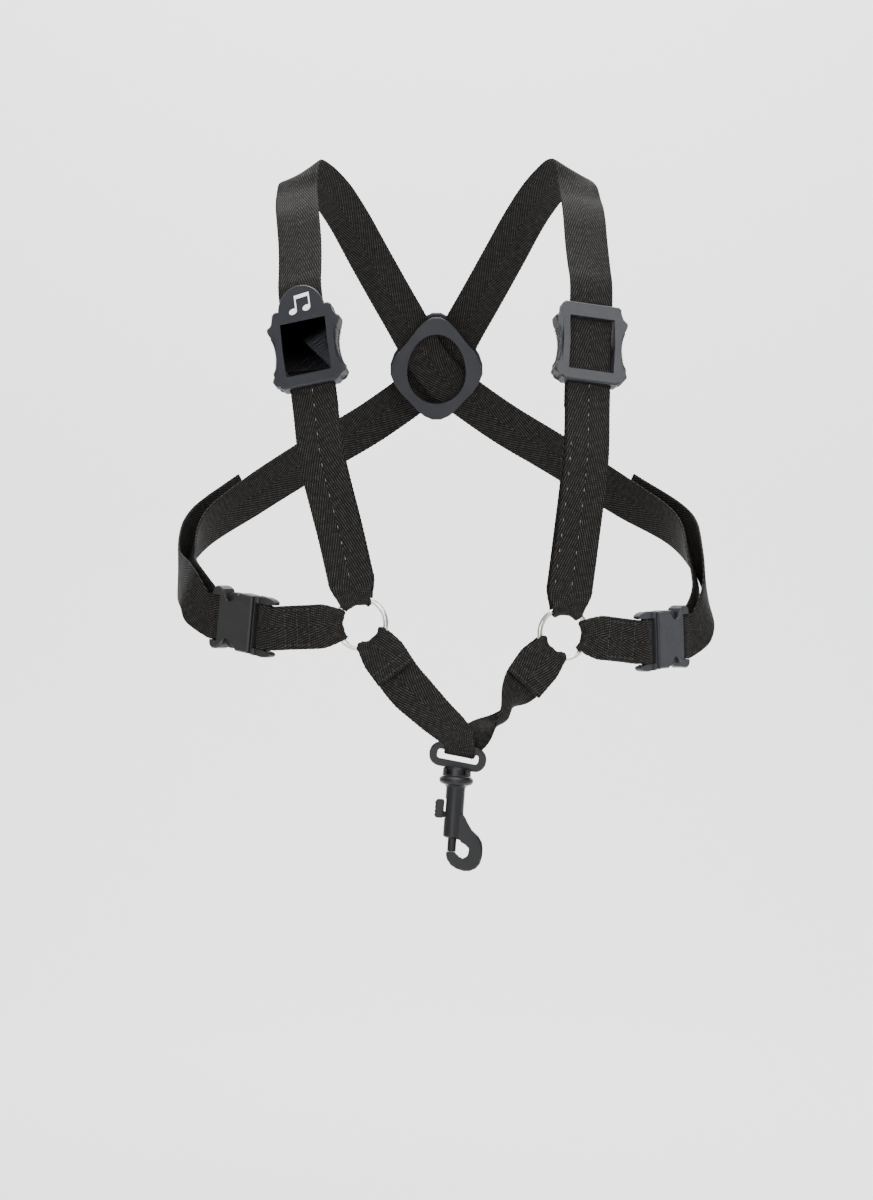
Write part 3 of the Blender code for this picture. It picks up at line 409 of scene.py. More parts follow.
def lower_strap_rows():
    """Rows of the lower strap, from the left ring through the hook's eye to the right ring."""
    ec, eright, eup, en = eye_frame()
    rows = []
    hr = 9.8
    # left ring
    c, d, a, n = ring_dir(-1, 306)
    ea = a if a.x > 0 else -a
    wide = 12.2
    flap_end = c + d * (RING_R + 20.5) + n * 1.9
    rows += route_rows([flap_end, c + d * (RING_R + 15.5) + n * 2.3,
                        c + d * (RING_R + 11) + n * FOLD_R], [ea, ea, ea], 4, wide)
    for t in (7.5, 4.0, 1.8):
        k = (t / 7.5) ** 2 * (3 - 2 * t / 7.5)
        rows.append(row(c + d * (RING_R + t) + n * FOLD_R, ea, wide, d, k, hr))
    rows += ring_fold(c, d, ea, n, hr, True)
    for t in (1.8, 4.0, 7.5):
        k = (t / 7.5) ** 2 * (3 - 2 * t / 7.5)
        rows.append(row(c + d * (RING_R + t) - n * FOLD_R, ea, wide, d, k, hr))
    front = ec + en * EYE_FOLD_R
    into = (front - (c + d * (RING_R + 11) - n * FOLD_R)).normalized()
    l1 = c + d * (RING_R + 11) - n * FOLD_R
    l2 = c + d * (RING_R + 27) - n * 0.9
    narrow = 8.4
    axis = eright
    rows += route_rows([l1, l2, (l2 + front) * 0.5 + eup * 2.0 + en * 0.4,
                        front + eup * 6.0 - eright * 2.2, front + eup * 0.5],
                       [ea, ea, (ea + axis) * 0.5, axis, axis], 12, [(0, wide), (0.35, wide), (1, narrow)])
    # round the eye's bar, front to back through the slot
    for i in range(1, 8):
        phi = math.pi * i / 8
        p = ec - eup * EYE_FOLD_R * math.sin(phi) + en * EYE_FOLD_R * math.cos(phi)
        rows.append(row(p + eright * (0.15 * i), axis, narrow))
    # right leg with half a turn
    c2, d2, a2, n2 = ring_dir(1, 229)
    ra = a2 if a2.z < 0 else -a2
    back = ec - en * EYE_FOLD_R + eright * 1.2
    r_end = c2 + d2 * (RING_R + 11) - n2 * FOLD_R
    r27 = c2 + d2 * (RING_R + 29) - n2 * 0.9
    leg = V((32.7, -109.5, -314.2))
    pts = [back + eup * 0.5, back + eup * 6.5 + eright * 5.0 - en * 0.5, leg, r27, r_end]
    pos, frac = spline(pts, 26)
    start_a = axis
    leg_rows = []
    for i, p in enumerate(pos):
        t = V(pos[min(i + 1, 25)] - pos[max(i - 1, 0)]).normalized()
        f = frac[i]
        base = (start_a - t * start_a.dot(t)).normalized()
        end = (-ra - t * (-ra).dot(t)).normalized()
        k = min(1.0, max(0.0, (f - 0.1) / 0.72))
        k = 0.6 * k + 0.4 * k * k * (3 - 2 * k)
        total = signed_angle(base, end, t)
        if total > 0:
            total -= 2 * math.pi
        ang = total * k
        ax = Matrix.Rotation(ang, 3, t) @ base
        # the band curls into a gutter where it turns over, so it is never seen edge-on
        curl = math.exp(-((f - 0.46) / 0.15) ** 2)
        h = lerp_keys(f, [(0, narrow), (0.3, narrow), (0.65, 11.0), (1, wide)]) * (1 - 0.45 * curl)
        gutter = t.cross(ax) * (6.0 * curl)
        leg_rows.append([q + gutter * (1 - u * u) for q, u in zip(row(p, ax, h), ACROSS)])
    rows += leg_rows
    for t in (7.5, 4.0, 1.8):
        k = (t / 7.5) ** 2 * (3 - 2 * t / 7.5)
        rows.append(row(c2 + d2 * (RING_R + t) - n2 * FOLD_R, -ra, wide, d2, k, hr))
    rows += ring_fold(c2, d2, -ra, n2, hr, False)
    for t in (1.8, 4.0, 7.5):
        k = (t / 7.5) ** 2 * (3 - 2 * t / 7.5)
        rows.append(row(c2 + d2 * (RING_R + t) + n2 * FOLD_R, -ra, wide, d2, k, hr))
    rows += route_rows([c2 + d2 * (RING_R + 11) + n2 * FOLD_R, c2 + d2 * (RING_R + 17) + n2 * 2.2,
                        c2 + d2 * (RING_R + 23) + n2 * 1.8], [-ra, -ra, -ra], 4, wide)
    return rows


# ------------------------------------------------------------------ meshes

def new_object(name, bm, materials):
    """Mesh object at the origin from a bmesh in millimetres."""
    bmesh.ops.scale(bm, verts=bm.verts, vec=(MM, MM, MM))
    mesh = bpy.data.meshes.new(name)
    bm.to_mesh(mesh)
    bm.free()
    for mat in materials:
        mesh.materials.append(mat)
    obj = bpy.data.objects.new(name, mesh)
    bpy.context.scene.collection.objects.link(obj)
    return obj


def lagrange(nodes, at):
    """Weights that carry values at the nodes to each place in at."""
    w = np.ones((len(at), len(nodes)))
    for i, x in enumerate(at):
        for j, a in enumerate(nodes):
            for k, b in enumerate(nodes):
                if j != k:
                    w[i, j] *= (x - b) / (a - b)
    return w


def fine_rows(rows, step, columns):
    """Rows made even and close along the strap, and smooth across it."""
    g = np.array([[list(p) for p in r] for r in rows])
    mid = g[:, 2]
    gap = np.linalg.norm(np.diff(mid, axis=0), axis=1)
    keep = np.concatenate([[True], gap > 0.05])
    g, mid = g[keep], mid[keep]
    n = len(g)
    ext = np.concatenate([[2 * g[0] - g[1]], g, [2 * g[-1] - g[-2]]])
    d = np.linalg.norm(np.diff(ext[:, 2], axis=0), axis=1) ** 0.5
    out = []
    for i in range(n - 1):
        p0, p1, p2, p3 = ext[i:i + 4]
        d01, d12, d23 = d[i:i + 3]
        m1 = p2 - p1 + d12 * ((p1 - p0) / d01 - (p2 - p0) / (d01 + d12))
        m2 = p2 - p1 + d12 * ((p3 - p2) / d23 - (p3 - p1) / (d12 + d23))
        parts = max(1, int(round(d12 * d12 / step)))
        for k in range(parts):
            t = k / parts
            out.append((2 * t ** 3 - 3 * t ** 2 + 1) * p1 + (t ** 3 - 2 * t ** 2 + t) * m1
                       + (3 * t ** 2 - 2 * t ** 3) * p2 + (t ** 3 - t ** 2) * m2)
    out.append(g[-1])
    out = np.array(out)
    at = np.array(columns)
    fine = np.einsum("cj,rjk->rck", lagrange(ACROSS, at), out)
    s = np.concatenate([[0], np.cumsum(np.linalg.norm(np.diff(out[:, 2], axis=0), axis=1))])
    return fine, s


def surface_normals(g):
    nrm = np.cross(np.gradient(g, axis=1), np.gradient(g, axis=0))
    return nrm / (np.linalg.norm(nrm, axis=2, keepdims=True) + 1e-12)


COLUMNS = (-0.985, -0.93, -0.84, -0.7, -0.5, -0.25, 0.0, 0.25, 0.5, 0.7, 0.84, 0.93, 0.985)


def gather(g, nrm, s, wires, seed):
    """Small puckers where a strap is pulled round a ring, pushed away from the wire."""
    cols = np.array(COLUMNS)
    for k, wire in enumerate(wires):
        off = g[:, len(cols) // 2] - np.array(list(wire))
        i = int(np.argmin(np.linalg.norm(off, axis=1)))
        sign = 1.0 if off[i] @ nrm[i, len(cols) // 2] > 0 else -1.0
        near = np.exp(-((s - s[i]) / 4.5) ** 2)
        pucker = 0.32 * (1 + np.sin(cols * 8.0 + seed + k)) + 0.22 * (1 + np.sin(cols * 17.0 + 3 * seed))
        g = g + nrm * (sign * near[:, None] * pucker[None, :])[:, :, None]
    return g


def webbing(name, rows, thick, materials, width=WEB_W, step=1.3, seed=0.0, wires=()):
    """Closed band of woven webbing with saw-edged selvedges.

    Its UV map is in millimetres: u across from the middle, v along."""
    g, s = fine_rows(rows, step, COLUMNS)
    nrm = surface_normals(g)
    g = gather(g, nrm, s, wires, seed)
    count, cols = g.shape[:2]
    across = g[:, -1] - g[:, 0]
    across /= np.linalg.norm(across, axis=1, keepdims=True)
    wave = 0.10 * np.sin(s / 19.0 + seed) + 0.07 * np.sin(s / 7.3 + 2 * seed)
    g = g + nrm * wave[:, None, None] * np.array(COLUMNS)[None, :, None] * 0.9
    # the body of the weave thins a little at the selvedge
    profile = np.array([0.72, 0.9, 1.0, 0.97, 1.0, 1.0, 0.98, 1.0, 1.0, 0.97, 1.0, 0.9, 0.72])
    half = thick / 2 * profile[None, :, None]
    top, bottom = g + nrm * half, g - nrm * half
    saw = 0.10 + 0.24 * (np.arange(count) % 2)
    left = g[:, 0] - across * saw[:, None]
    right = g[:, -1] + across * saw[:, None]
    bm = bmesh.new()
    uv = bm.loops.layers.uv.new("weave")
    place = {}
    sign = {}

    def vert(p, u, v, side):
        w = bm.verts.new(p)
        place[w] = (u, v)
        sign[w] = side
        return w

    scale = width / 2
    rings = []
    for i in range(count):
        ring = [vert(left[i], -scale - 0.1, s[i], 0)]
        ring += [vert(top[i, j], COLUMNS[j] * scale, s[i], 1) for j in range(cols)]
        ring += [vert(right[i], scale + 0.1, s[i], 0)]
        ring += [vert(bottom[i, j], COLUMNS[j] * scale, s[i], -1) for j in reversed(range(cols))]
        rings.append(ring)
    m = len(rings[0])
    for a, b in zip(rings[:-1], rings[1:]):
        for j in range(m):
            k = (j + 1) % m
            bm.faces.new((a[j], a[k], b[k], b[j]))
    bm.faces.new(rings[0][::-1])
    bm.faces.new(rings[-1])
    for f in bm.faces:
        f.smooth = len(f.verts) == 4
        for loop in f.loops:
            loop[uv].uv = place[loop.vert]
    bmesh.ops.recalc_face_normals(bm, faces=bm.faces)
    obj = new_object(name, bm, materials)
    return obj, g, nrm, s, half[0, :, 0]


def line_object(name, lines):
    """Edges only, from lists of points in millimetres, for a stitch modifier to follow."""
    verts, edges = [], []
    for line in lines:
        start = len(verts)
        verts += [tuple(V(p) * MM) for p in line]
        edges += [(start + i, start + i + 1) for i in range(len(line) - 1)]
    mesh = bpy.data.meshes.new(name)
    mesh.from_pydata(verts, edges, [])
    obj = bpy.data.objects.new(name, mesh)
    bpy.context.scene.collection.objects.link(obj)
    return obj


def add_node(tree, kind, links=(), **settings):
    """Add a node, set its properties and input values, and link its inputs."""
    node = tree.nodes.new(kind)
    for key, value in settings.items():
        if key.startswith("in_"):
            name = key[3:]
            index = int(name) if name.isdigit() else name.replace("_", " ")
            node.inputs[index].default_value = value
        else:
            setattr(node, key, value)
    for index, socket in links:
        tree.links.new(socket, node.inputs[index])
    return node


def repeat_tree(name):
    """Geometry Nodes tree: one rounded bar at each step along a line, turned along it."""
    tree = bpy.data.node_groups.new(name, "GeometryNodeTree")
    face = tree.interface
    face.new_socket("Geometry", in_out="INPUT", socket_type="NodeSocketGeometry")
    for label, value in (("Spacing", 0.003), ("Bar length", 0.002), ("Bar radius", 0.0003),
                         ("Flatness", 0.7)):
        s = face.new_socket(label, in_out="INPUT", socket_type="NodeSocketFloat")
        s.default_value = value
    face.new_socket("Material", in_out="INPUT", socket_type="NodeSocketMaterial")
    face.new_socket("Geometry", in_out="OUTPUT", socket_type="NodeSocketGeometry")
    src = tree.nodes.new("NodeGroupInput")
    curve = add_node(tree, "GeometryNodeMeshToCurve", [(0, src.outputs["Geometry"])])
    points = add_node(tree, "GeometryNodeCurveToPoints", [(0, curve.outputs[0])], mode="LENGTH")
    tree.links.new(src.outputs["Spacing"], points.inputs["Length"])
    ball = add_node(tree, "GeometryNodeMeshUVSphere", in_Segments=8, in_Rings=6, in_Radius=1.0)
    half = add_node(tree, "ShaderNodeMath", [(0, src.outputs["Bar length"])], operation="MULTIPLY")
    half.inputs[1].default_value = 0.5
    flat = add_node(tree, "ShaderNodeMath", [(0, src.outputs["Bar radius"]), (1, src.outputs["Flatness"])],
                    operation="MULTIPLY")
    size = add_node(tree, "ShaderNodeCombineXYZ", [(0, src.outputs["Bar radius"]), (1, flat.outputs[0]),
                                                   (2, half.outputs[0])])
    shaped = add_node(tree, "GeometryNodeTransform", [(0, ball.outputs[0])])
    tree.links.new(size.outputs[0], shaped.inputs["Scale"])
    placed = add_node(tree, "GeometryNodeInstanceOnPoints", [(0, points.outputs["Points"])])
    tree.links.new(shaped.outputs[0], placed.inputs["Instance"])
    tree.links.new(points.outputs["Rotation"], placed.inputs["Rotation"])
    real = add_node(tree, "GeometryNodeRealizeInstances", [(0, placed.outputs[0])])
    smooth = add_node(tree, "GeometryNodeSetShadeSmooth", [(0, real.outputs[0])])
    paint = add_node(tree, "GeometryNodeSetMaterial", [(0, smooth.outputs[0])])
    tree.links.new(src.outputs["Material"], paint.inputs["Material"])
    out = tree.nodes.new("NodeGroupOutput")
    tree.links.new(paint.outputs[0], out.inputs[0])
    return tree


def repeat_along(name, lines, spacing, length, radius, flatness, material):
    """A plain mesh of bars repeated along lines, sizes in millimetres."""
    tree = bpy.data.node_groups.get("bars_along_a_line") or repeat_tree("bars_along_a_line")
    obj = line_object(name + "_path", lines)
    mod = obj.modifiers.new("bars", "NODES")
    mod.node_group = tree
    ids = {i.name: i.identifier for i in tree.interface.items_tree if i.in_out == "INPUT"}
    mod[ids["Spacing"]] = spacing * MM
    mod[ids["Bar length"]] = length * MM
    mod[ids["Bar radius"]] = radius * MM
    mod[ids["Flatness"]] = flatness
    mod[ids["Material"]] = material
    deps = bpy.context.evaluated_depsgraph_get()
    mesh = bpy.data.meshes.new_from_object(obj.evaluated_get(deps))
    mesh.name = name
    out = bpy.data.objects.new(name, mesh)
    bpy.context.scene.collection.objects.link(out)
    old = obj.data
    bpy.data.objects.remove(obj, do_unlink=True)
    bpy.data.meshes.remove(old)
    return out


def moulded(node, name, material, edge, angle=30.0, segments=3, cutters=()):
    """A copy of a moulded part, less the cutters, with its edges rounded as a mould leaves them."""
    bm = bmesh.new()
    bm.from_mesh(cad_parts[node].data)
    bmesh.ops.remove_doubles(bm, verts=bm.verts, dist=2e-6)
    bmesh.ops.dissolve_limit(bm, angle_limit=math.radians(1.0), verts=bm.verts, edges=bm.edges)
    mesh = bpy.data.meshes.new(name)
    bm.to_mesh(mesh)
    bm.free()
    mesh.materials.clear()
    mesh.materials.append(material)
    mesh.shade_smooth()
    obj = bpy.data.objects.new(name, mesh)
    bpy.context.scene.collection.objects.link(obj)
    for cutter in cutters:
        cut = obj.modifiers.new("cut", "BOOLEAN")
        cut.operation = "DIFFERENCE"
        cut.object = cutter
    bev = obj.modifiers.new("edges", "BEVEL")
    bev.width = edge * MM
    bev.segments = segments
    bev.limit_method = "ANGLE"
    bev.angle_limit = math.radians(angle)
    bev.use_clamp_overlap = True
    weight = obj.modifiers.new("shading", "WEIGHTED_NORMAL")
    weight.keep_sharp = True
    deps = bpy.context.evaluated_depsgraph_get()
    done = bpy.data.meshes.new_from_object(obj.evaluated_get(deps))
    obj.modifiers.clear()
    obj.data = done
    bpy.data.meshes.remove(mesh)
    for cutter in cutters:
        bpy.data.objects.remove(cutter, do_unlink=True)
    return obj


def swivel_windows(count=6):
    """Cutters for the blind windows round the swivel's skirt."""
    hc, hright, hup, hn = hook_frame()
    out = []
    for i in range(count):
        turn = Matrix.Rotation(2 * math.pi * (i + 0.42) / count, 3, hup)
        away, beside = turn @ -hn, turn @ hright
        m = frame_matrix(hc + away * 8.2 + hup * 6.8, beside, away, hup)
        bm = bmesh.new()
        bmesh.ops.create_cube(bm, size=1.0)
        bmesh.ops.scale(bm, verts=bm.verts, vec=(3.3, 4.6, 3.0))
        bmesh.ops.transform(bm, matrix=m, verts=bm.verts)
        bmesh.ops.recalc_face_normals(bm, faces=bm.faces)
        out.append(new_object("window_cutter_%d" % i, bm, []))
    return out


# --------------------------------------------------------------- materials

def linear(hex_colour):
    """sRGB hex to linear RGBA."""
    out = []
    for i in (0, 2, 4):
        c = int(hex_colour[i:i + 2], 16) / 255.0
        out.append(c / 12.92 if c <= 0.04045 else ((c + 0.055) / 1.055) ** 2.4)
    return (*out, 1.0)


def new_material(name):
    mat = bpy.data.materials.new(name)
    mat.use_nodes = True
    return mat, mat.node_tree, mat.node_tree.nodes["Principled BSDF"]


def woven_polyester(name="woven_polyester_webbing", dark="030303", light="4e4a46"):
    """Herringbone polyester webbing: filament floats run in steep V lines either side of
    the middle, broken by the picks, so lit areas show chevrons and dim ones a dot grid."""
    mat, tree, bsdf = new_material(name)
    uv = add_node(tree, "ShaderNodeUVMap", uv_map="weave")
    xyz = add_node(tree, "ShaderNodeSeparateXYZ", [(0, uv.outputs[0])])
    u, v = xyz.outputs[0], xyz.outputs[1]

    def maths(op, a, b=None, c=None):
        node = tree.nodes.new("ShaderNodeMath")
        node.operation = op
        for k, val in enumerate((a, b, c)):
            if val is None:
                continue
            if isinstance(val, (int, float)):
                node.inputs[k].default_value = val
            else:
                tree.links.new(val, node.inputs[k])
        return node.outputs[0]

    def cosine(phase):
        return maths("MULTIPLY_ADD", maths("COSINE", phase), 0.5, 0.5)

    turn = 2 * math.pi
    side = maths("ABSOLUTE", u)
    # twill lines 1.35 mm apart, about 20 degrees off the strap's length
    twill = cosine(maths("ADD", maths("MULTIPLY", side, turn / 1.45), maths("MULTIPLY", v, turn / 4.0)))
    # warp ribs 1.3 mm apart and picks 1.25 mm apart
    rib = cosine(maths("MULTIPLY", u, turn / 1.3))
    pick = cosine(maths("MULTIPLY", v, turn / 1.25))
    dots = maths("MULTIPLY", rib, pick)
    weave = maths("MULTIPLY_ADD", twill, 0.62, maths("MULTIPLY", dots, 0.38))
    noise = add_node(tree, "ShaderNodeTexNoise", [(0, uv.outputs[0])], in_Scale=0.35, in_Detail=3.0)
    grain = add_node(tree, "ShaderNodeTexNoise", [(0, uv.outputs[0])], in_Scale=2.1, in_Detail=2.0)
    patch = maths("MULTIPLY_ADD", noise.outputs[0], 0.9, 0.35)
    uneven = maths("MULTIPLY_ADD", grain.outputs[0], 0.8, 0.55)
    tone = maths("MULTIPLY", maths("MULTIPLY", weave, patch), uneven)
    ramp = add_node(tree, "ShaderNodeValToRGB", [(0, maths("POWER", tone, 2.0))])
    ramp.color_ramp.elements[0].position = 0.0
    ramp.color_ramp.elements[0].color = linear(dark)
    ramp.color_ramp.elements[1].position = 1.0
    ramp.color_ramp.elements[1].color = linear(light)
    tree.links.new(ramp.outputs[0], bsdf.inputs["Base Color"])
    rough = maths("MULTIPLY_ADD", tone, -0.22, 0.72)
    tree.links.new(rough, bsdf.inputs["Roughness"])
    bsdf.inputs["Specular IOR Level"].default_value = 0.08
    height = maths("MULTIPLY_ADD", twill, 0.5, maths("MULTIPLY", dots, 0.6))
    bump = add_node(tree, "ShaderNodeBump", [("Height", height)], in_Strength=0.55, in_Distance=0.00022)
    tree.links.new(bump.outputs[0], bsdf.inputs["Normal"])
    return mat


def moulded_plastic(name, base, bright, rough, fleck=420.0):
    """Injection-moulded plastic: a satin spark-eroded skin, slightly uneven in tone, with
    faint rub marks."""
    mat, tree, bsdf = new_material(name)
    co = add_node(tree, "ShaderNodeTexCoord")
    broad = add_node(tree, "ShaderNodeTexNoise", [(0, co.outputs["Object"])], in_Scale=90.0, in_Detail=3.0)
    fine = add_node(tree, "ShaderNodeTexNoise", [(0, co.outputs["Object"])], in_Scale=fleck * 4,
                    in_Detail=2.0)
    rub = add_node(tree, "ShaderNodeTexNoise", [(0, co.outputs["Object"])], in_Scale=fleck, in_Detail=4.0,
                   in_Roughness=0.7)
    mix = add_node(tree, "ShaderNodeMix", [(0, broad.outputs[0])], data_type="RGBA")
    mix.inputs[6].default_value = linear(base)
    mix.inputs[7].default_value = linear(bright)
    tree.links.new(mix.outputs[2], bsdf.inputs["Base Color"])
    span = add_node(tree, "ShaderNodeMapRange", [(0, rub.outputs[0])])
    span.inputs["To Min"].default_value = rough - 0.08
    span.inputs["To Max"].default_value = rough + 0.1
    tree.links.new(span.outputs[0], bsdf.inputs["Roughness"])
    bsdf.inputs["Specular IOR Level"].default_value = 0.24
    bump = add_node(tree, "ShaderNodeBump", [("Height", fine.outputs[0])], in_Strength=0.3,
                    in_Distance=0.00006)
    tree.links.new(bump.outputs[0], bsdf.inputs["Normal"])
    return mat


def plated_wire(name, base, dull, rough):
    """Nickel-plated drawn steel: bright, with slightly duller smears."""
    mat, tree, bsdf = new_material(name)
    co = add_node(tree, "ShaderNodeTexCoord")
    smear = add_node(tree, "ShaderNodeTexNoise", [(0, co.outputs["Object"])], in_Scale=160.0, in_Detail=4.0)
    mix = add_node(tree, "ShaderNodeMix", [(0, smear.outputs[0])], data_type="RGBA")
    mix.inputs[6].default_value = linear(base)
    mix.inputs[7].default_value = linear(dull)
    tree.links.new(mix.outputs[2], bsdf.inputs["Base Color"])
    bsdf.inputs["Metallic"].default_value = 1.0
    span = add_node(tree, "ShaderNodeMapRange", [(0, smear.outputs[0])])
    span.inputs["To Min"].default_value = rough
    span.inputs["To Max"].default_value = rough + 0.18
    tree.links.new(span.outputs[0], bsdf.inputs["Roughness"])
    return mat


def thread(name, colour):
    """Bonded polyester sewing thread, slightly glossy; near-black mixed in by small noise patches is painted
    shade for the grooves between its twists.
    """
    mat, tree, bsdf = new_material(name)
    co = add_node(tree, "ShaderNodeTexCoord")
    twist_groove_shade = add_node(tree, "ShaderNodeTexNoise", [(0, co.outputs["Object"])], in_Scale=900.0, in_Detail=2.0)
    # painted shade: the noise darkens the thread toward near-black, standing in for shade in the grooves
    # between its twists
    mix = add_node(tree, "ShaderNodeMix", [(0, twist_groove_shade.outputs[0])], data_type="RGBA")
    mix.inputs[6].default_value = linear("0d0c0c")
    mix.inputs[7].default_value = linear(colour)
    tree.links.new(mix.outputs[2], bsdf.inputs["Base Color"])
    bsdf.inputs["Roughness"].default_value = 0.5
    return mat


def printed_mark(name):
    """White pad-printed ink, thin and slightly chalky."""
    mat, tree, bsdf = new_material(name)
    co = add_node(tree, "ShaderNodeTexCoord")
    chalk = add_node(tree, "ShaderNodeTexNoise", [(0, co.outputs["Object"])], in_Scale=700.0, in_Detail=3.0)
    mix = add_node(tree, "ShaderNodeMix", [(0, chalk.outputs[0])], data_type="RGBA")
    mix.inputs[6].default_value = linear("f4f4f2")
    mix.inputs[7].default_value = linear("e2e2e0")
    tree.links.new(mix.outputs[2], bsdf.inputs["Base Color"])
    bsdf.inputs["Roughness"].default_value = 0.45
    return mat


def material(name):
    """The named finish, made the first time it is asked for."""
    found = bpy.data.materials.get(name)
    if found:
        return found
    made = {
        "woven_polyester_webbing": lambda: woven_polyester(),
        "moulded_acetal_slate": lambda: moulded_plastic("moulded_acetal_slate", "1d1e21", "26272b", 0.42),
        "moulded_acetal_charcoal": lambda: moulded_plastic("moulded_acetal_charcoal", "191918", "20201f",
                                                           0.4),
        "moulded_nylon_black": lambda: moulded_plastic("moulded_nylon_black", "101011", "171719", 0.36),
        "nickel_plated_wire": lambda: plated_wire("nickel_plated_wire", "d8d5cf", "b5afa6", 0.16),
        "bright_spring_wire": lambda: plated_wire("bright_spring_wire", "b9b9b8", "8f8f8f", 0.28),
        "polyester_thread_black": lambda: thread("polyester_thread_black", "24211f"),
        "polyester_thread_grey": lambda: thread("polyester_thread_grey", "9a948c"),
        "printed_white": lambda: printed_mark("printed_white"),
    }
    return made[name]()


# ------------------------------------------------------------------ pieces

def strip_line(g, nrm, s, half, u, start, end, side=1, lift=0.0, step=1.2):
    """A line along a strap at u across it, from start to end millimetres of its length."""
    pts = []
    for t in np.arange(start, end, step):
        i = int(np.searchsorted(s, t))
        i = min(max(i, 1), len(s) - 1)
        k = (t - s[i - 1]) / max(s[i] - s[i - 1], 1e-6)
        cols = np.array(COLUMNS)
        row_p = g[i - 1] * (1 - k) + g[i] * k
        row_n = nrm[i - 1] * (1 - k) + nrm[i] * k
        p = np.array([np.interp(u, cols, row_p[:, c]) for c in range(3)])
        n = np.array([np.interp(u, cols, row_n[:, c]) for c in range(3)])
        h = float(np.interp(u, cols, half)) + lift
        pts.append(V(p + side * n * h))
    return pts


def cross_line(g, nrm, s, half, at, u0, u1, side=1, lift=0.0, count=12):
    """A line across a strap at a place along it."""
    pts = []
    i = min(max(int(np.searchsorted(s, at)), 1), len(s) - 1)
    k = (at - s[i - 1]) / max(s[i] - s[i - 1], 1e-6)
    cols = np.array(COLUMNS)
    row_p = g[i - 1] * (1 - k) + g[i] * k
    row_n = nrm[i - 1] * (1 - k) + nrm[i] * k
    for u in np.linspace(u0, u1, count):
        p = np.array([np.interp(u, cols, row_p[:, c]) for c in range(3)])
        n = np.array([np.interp(u, cols, row_n[:, c]) for c in range(3)])
        pts.append(V(p + side * n * (float(np.interp(u, cols, half)) + lift)))
    return pts


def nearest_length(g, s, point, after=0.0, before=1e9):
    """How far along a strap its middle comes closest to a point."""
    mid = g[:, len(COLUMNS) // 2]
    d = np.linalg.norm(mid - np.array(list(point)), axis=1)
    d[(s < after) | (s > before)] = 1e9
    return float(s[int(np.argmin(d))])


def wire_point(side, degrees):
    """The middle of a ring's wire at an angle round it."""
    c, d, a, n = ring_dir(side, degrees)
    return c + d * RING_R


def build_long_strap(side, label):
    rows = long_strap_rows(side)
    c, d, a, n = ring_dir(side, 103 if side < 0 else 82)
    name = "webbing_shoulder_" + label
    obj, g, nrm, s, half = webbing(name, rows, WEB_T, [material("woven_polyester_webbing")],
                                   seed=0.7 + side, wires=[c + d * RING_R])
    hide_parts("strap_shoulder_" + label)
    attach(obj, "harness")
    sc, sa, st, sn = slider_frame(side)
    ring_at = nearest_length(g, s, c + d * RING_R + n * FOLD_R)
    at_slider = nearest_length(g, s, sc, after=ring_at)
    face = 1 if nrm[int(np.searchsorted(s, at_slider)), 6] @ np.array(sn) > 0 else -1
    lines = [strip_line(g, nrm, s, half, 0.0, ring_at + 14, at_slider - 24, face, -0.12)]
    if side > 0:
        lines.append(strip_line(g, nrm, s, half, -0.78 * face, ring_at + 14, at_slider - 60, face, -0.12))
    dots = repeat_along("centre_stitch_" + label, lines, 8.4, 2.0, 0.42, 0.5,
                        material("polyester_thread_grey"))
    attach(dots, "harness")
    # the hemmed tail
    end = float(s[-1])
    hem = [cross_line(g, nrm, s, half, end - t, -0.9, 0.9, k, -0.1) for t in (2.2, 6.0) for k in (1, -1)]
    sewn = repeat_along("tail_hem_" + label, hem, 2.6, 2.1, 0.32, 0.6, material("polyester_thread_black"))
    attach(sewn, "harness")


def build_end_loop(side, label):
    name = "webbing_end_loop_" + label
    obj, g, nrm, s, half = webbing(name, end_loop_rows(side), LOOP_T, [material("woven_polyester_webbing")],
                                   width=24.8, seed=side * 0.4)
    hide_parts("end_loop_" + label)
    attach(obj, "slider_%s_body" % label)
    lines = [cross_line(g, nrm, s, half, float(s[-1]) - t, -0.85, 0.85, k, -0.1)
             for t in (4.0, 16.0) for k in (1, -1)]
    sewn = repeat_along("loop_seam_" + label, lines, 2.6, 2.1, 0.3, 0.6, material("polyester_thread_black"))
    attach(sewn, "slider_%s_body" % label)


def build_tab(side, label):
    rc, d, a, n = ring_dir(side, 184 if side < 0 else -6)
    c, along, bw, bn = buckle_frame(side)
    obj, g, nrm, s, half = webbing("webbing_tab_" + label, chest_tab_rows(side), WEB_T,
                                   [material("woven_polyester_webbing")], width=24.6, seed=side * 1.9,
                                   wires=[rc + d * RING_R])
    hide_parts("tab_" + label)
    ring_at = nearest_length(g, s, rc + d * RING_R)
    plug_at = nearest_length(g, s, c - along * 7.4, before=ring_at)
    front = [plug_at + (ring_at - plug_at) * k for k in (0.36, 0.52, 0.68)]
    face = 1 if nrm[int(np.searchsorted(s, front[1])), 6] @ np.array(n) > 0 else -1
    lines = [cross_line(g, nrm, s, half, t, -0.8, 0.8, face, -0.1) for t in front]
    lines += [strip_line(g, nrm, s, half, u, front[0], front[2], face, -0.1) for u in (-0.8, 0.8)]
    back = [2.0, float(s[-1]) - 2.0]
    lines += [cross_line(g, nrm, s, half, t, -0.86, 0.86, -face, -0.1) for t in back]
    sewn = repeat_along("tab_seams_" + label, lines, 2.5, 2.0, 0.34, 0.6, material("polyester_thread_black"))
    for piece in (obj, sewn):
        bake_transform(piece)


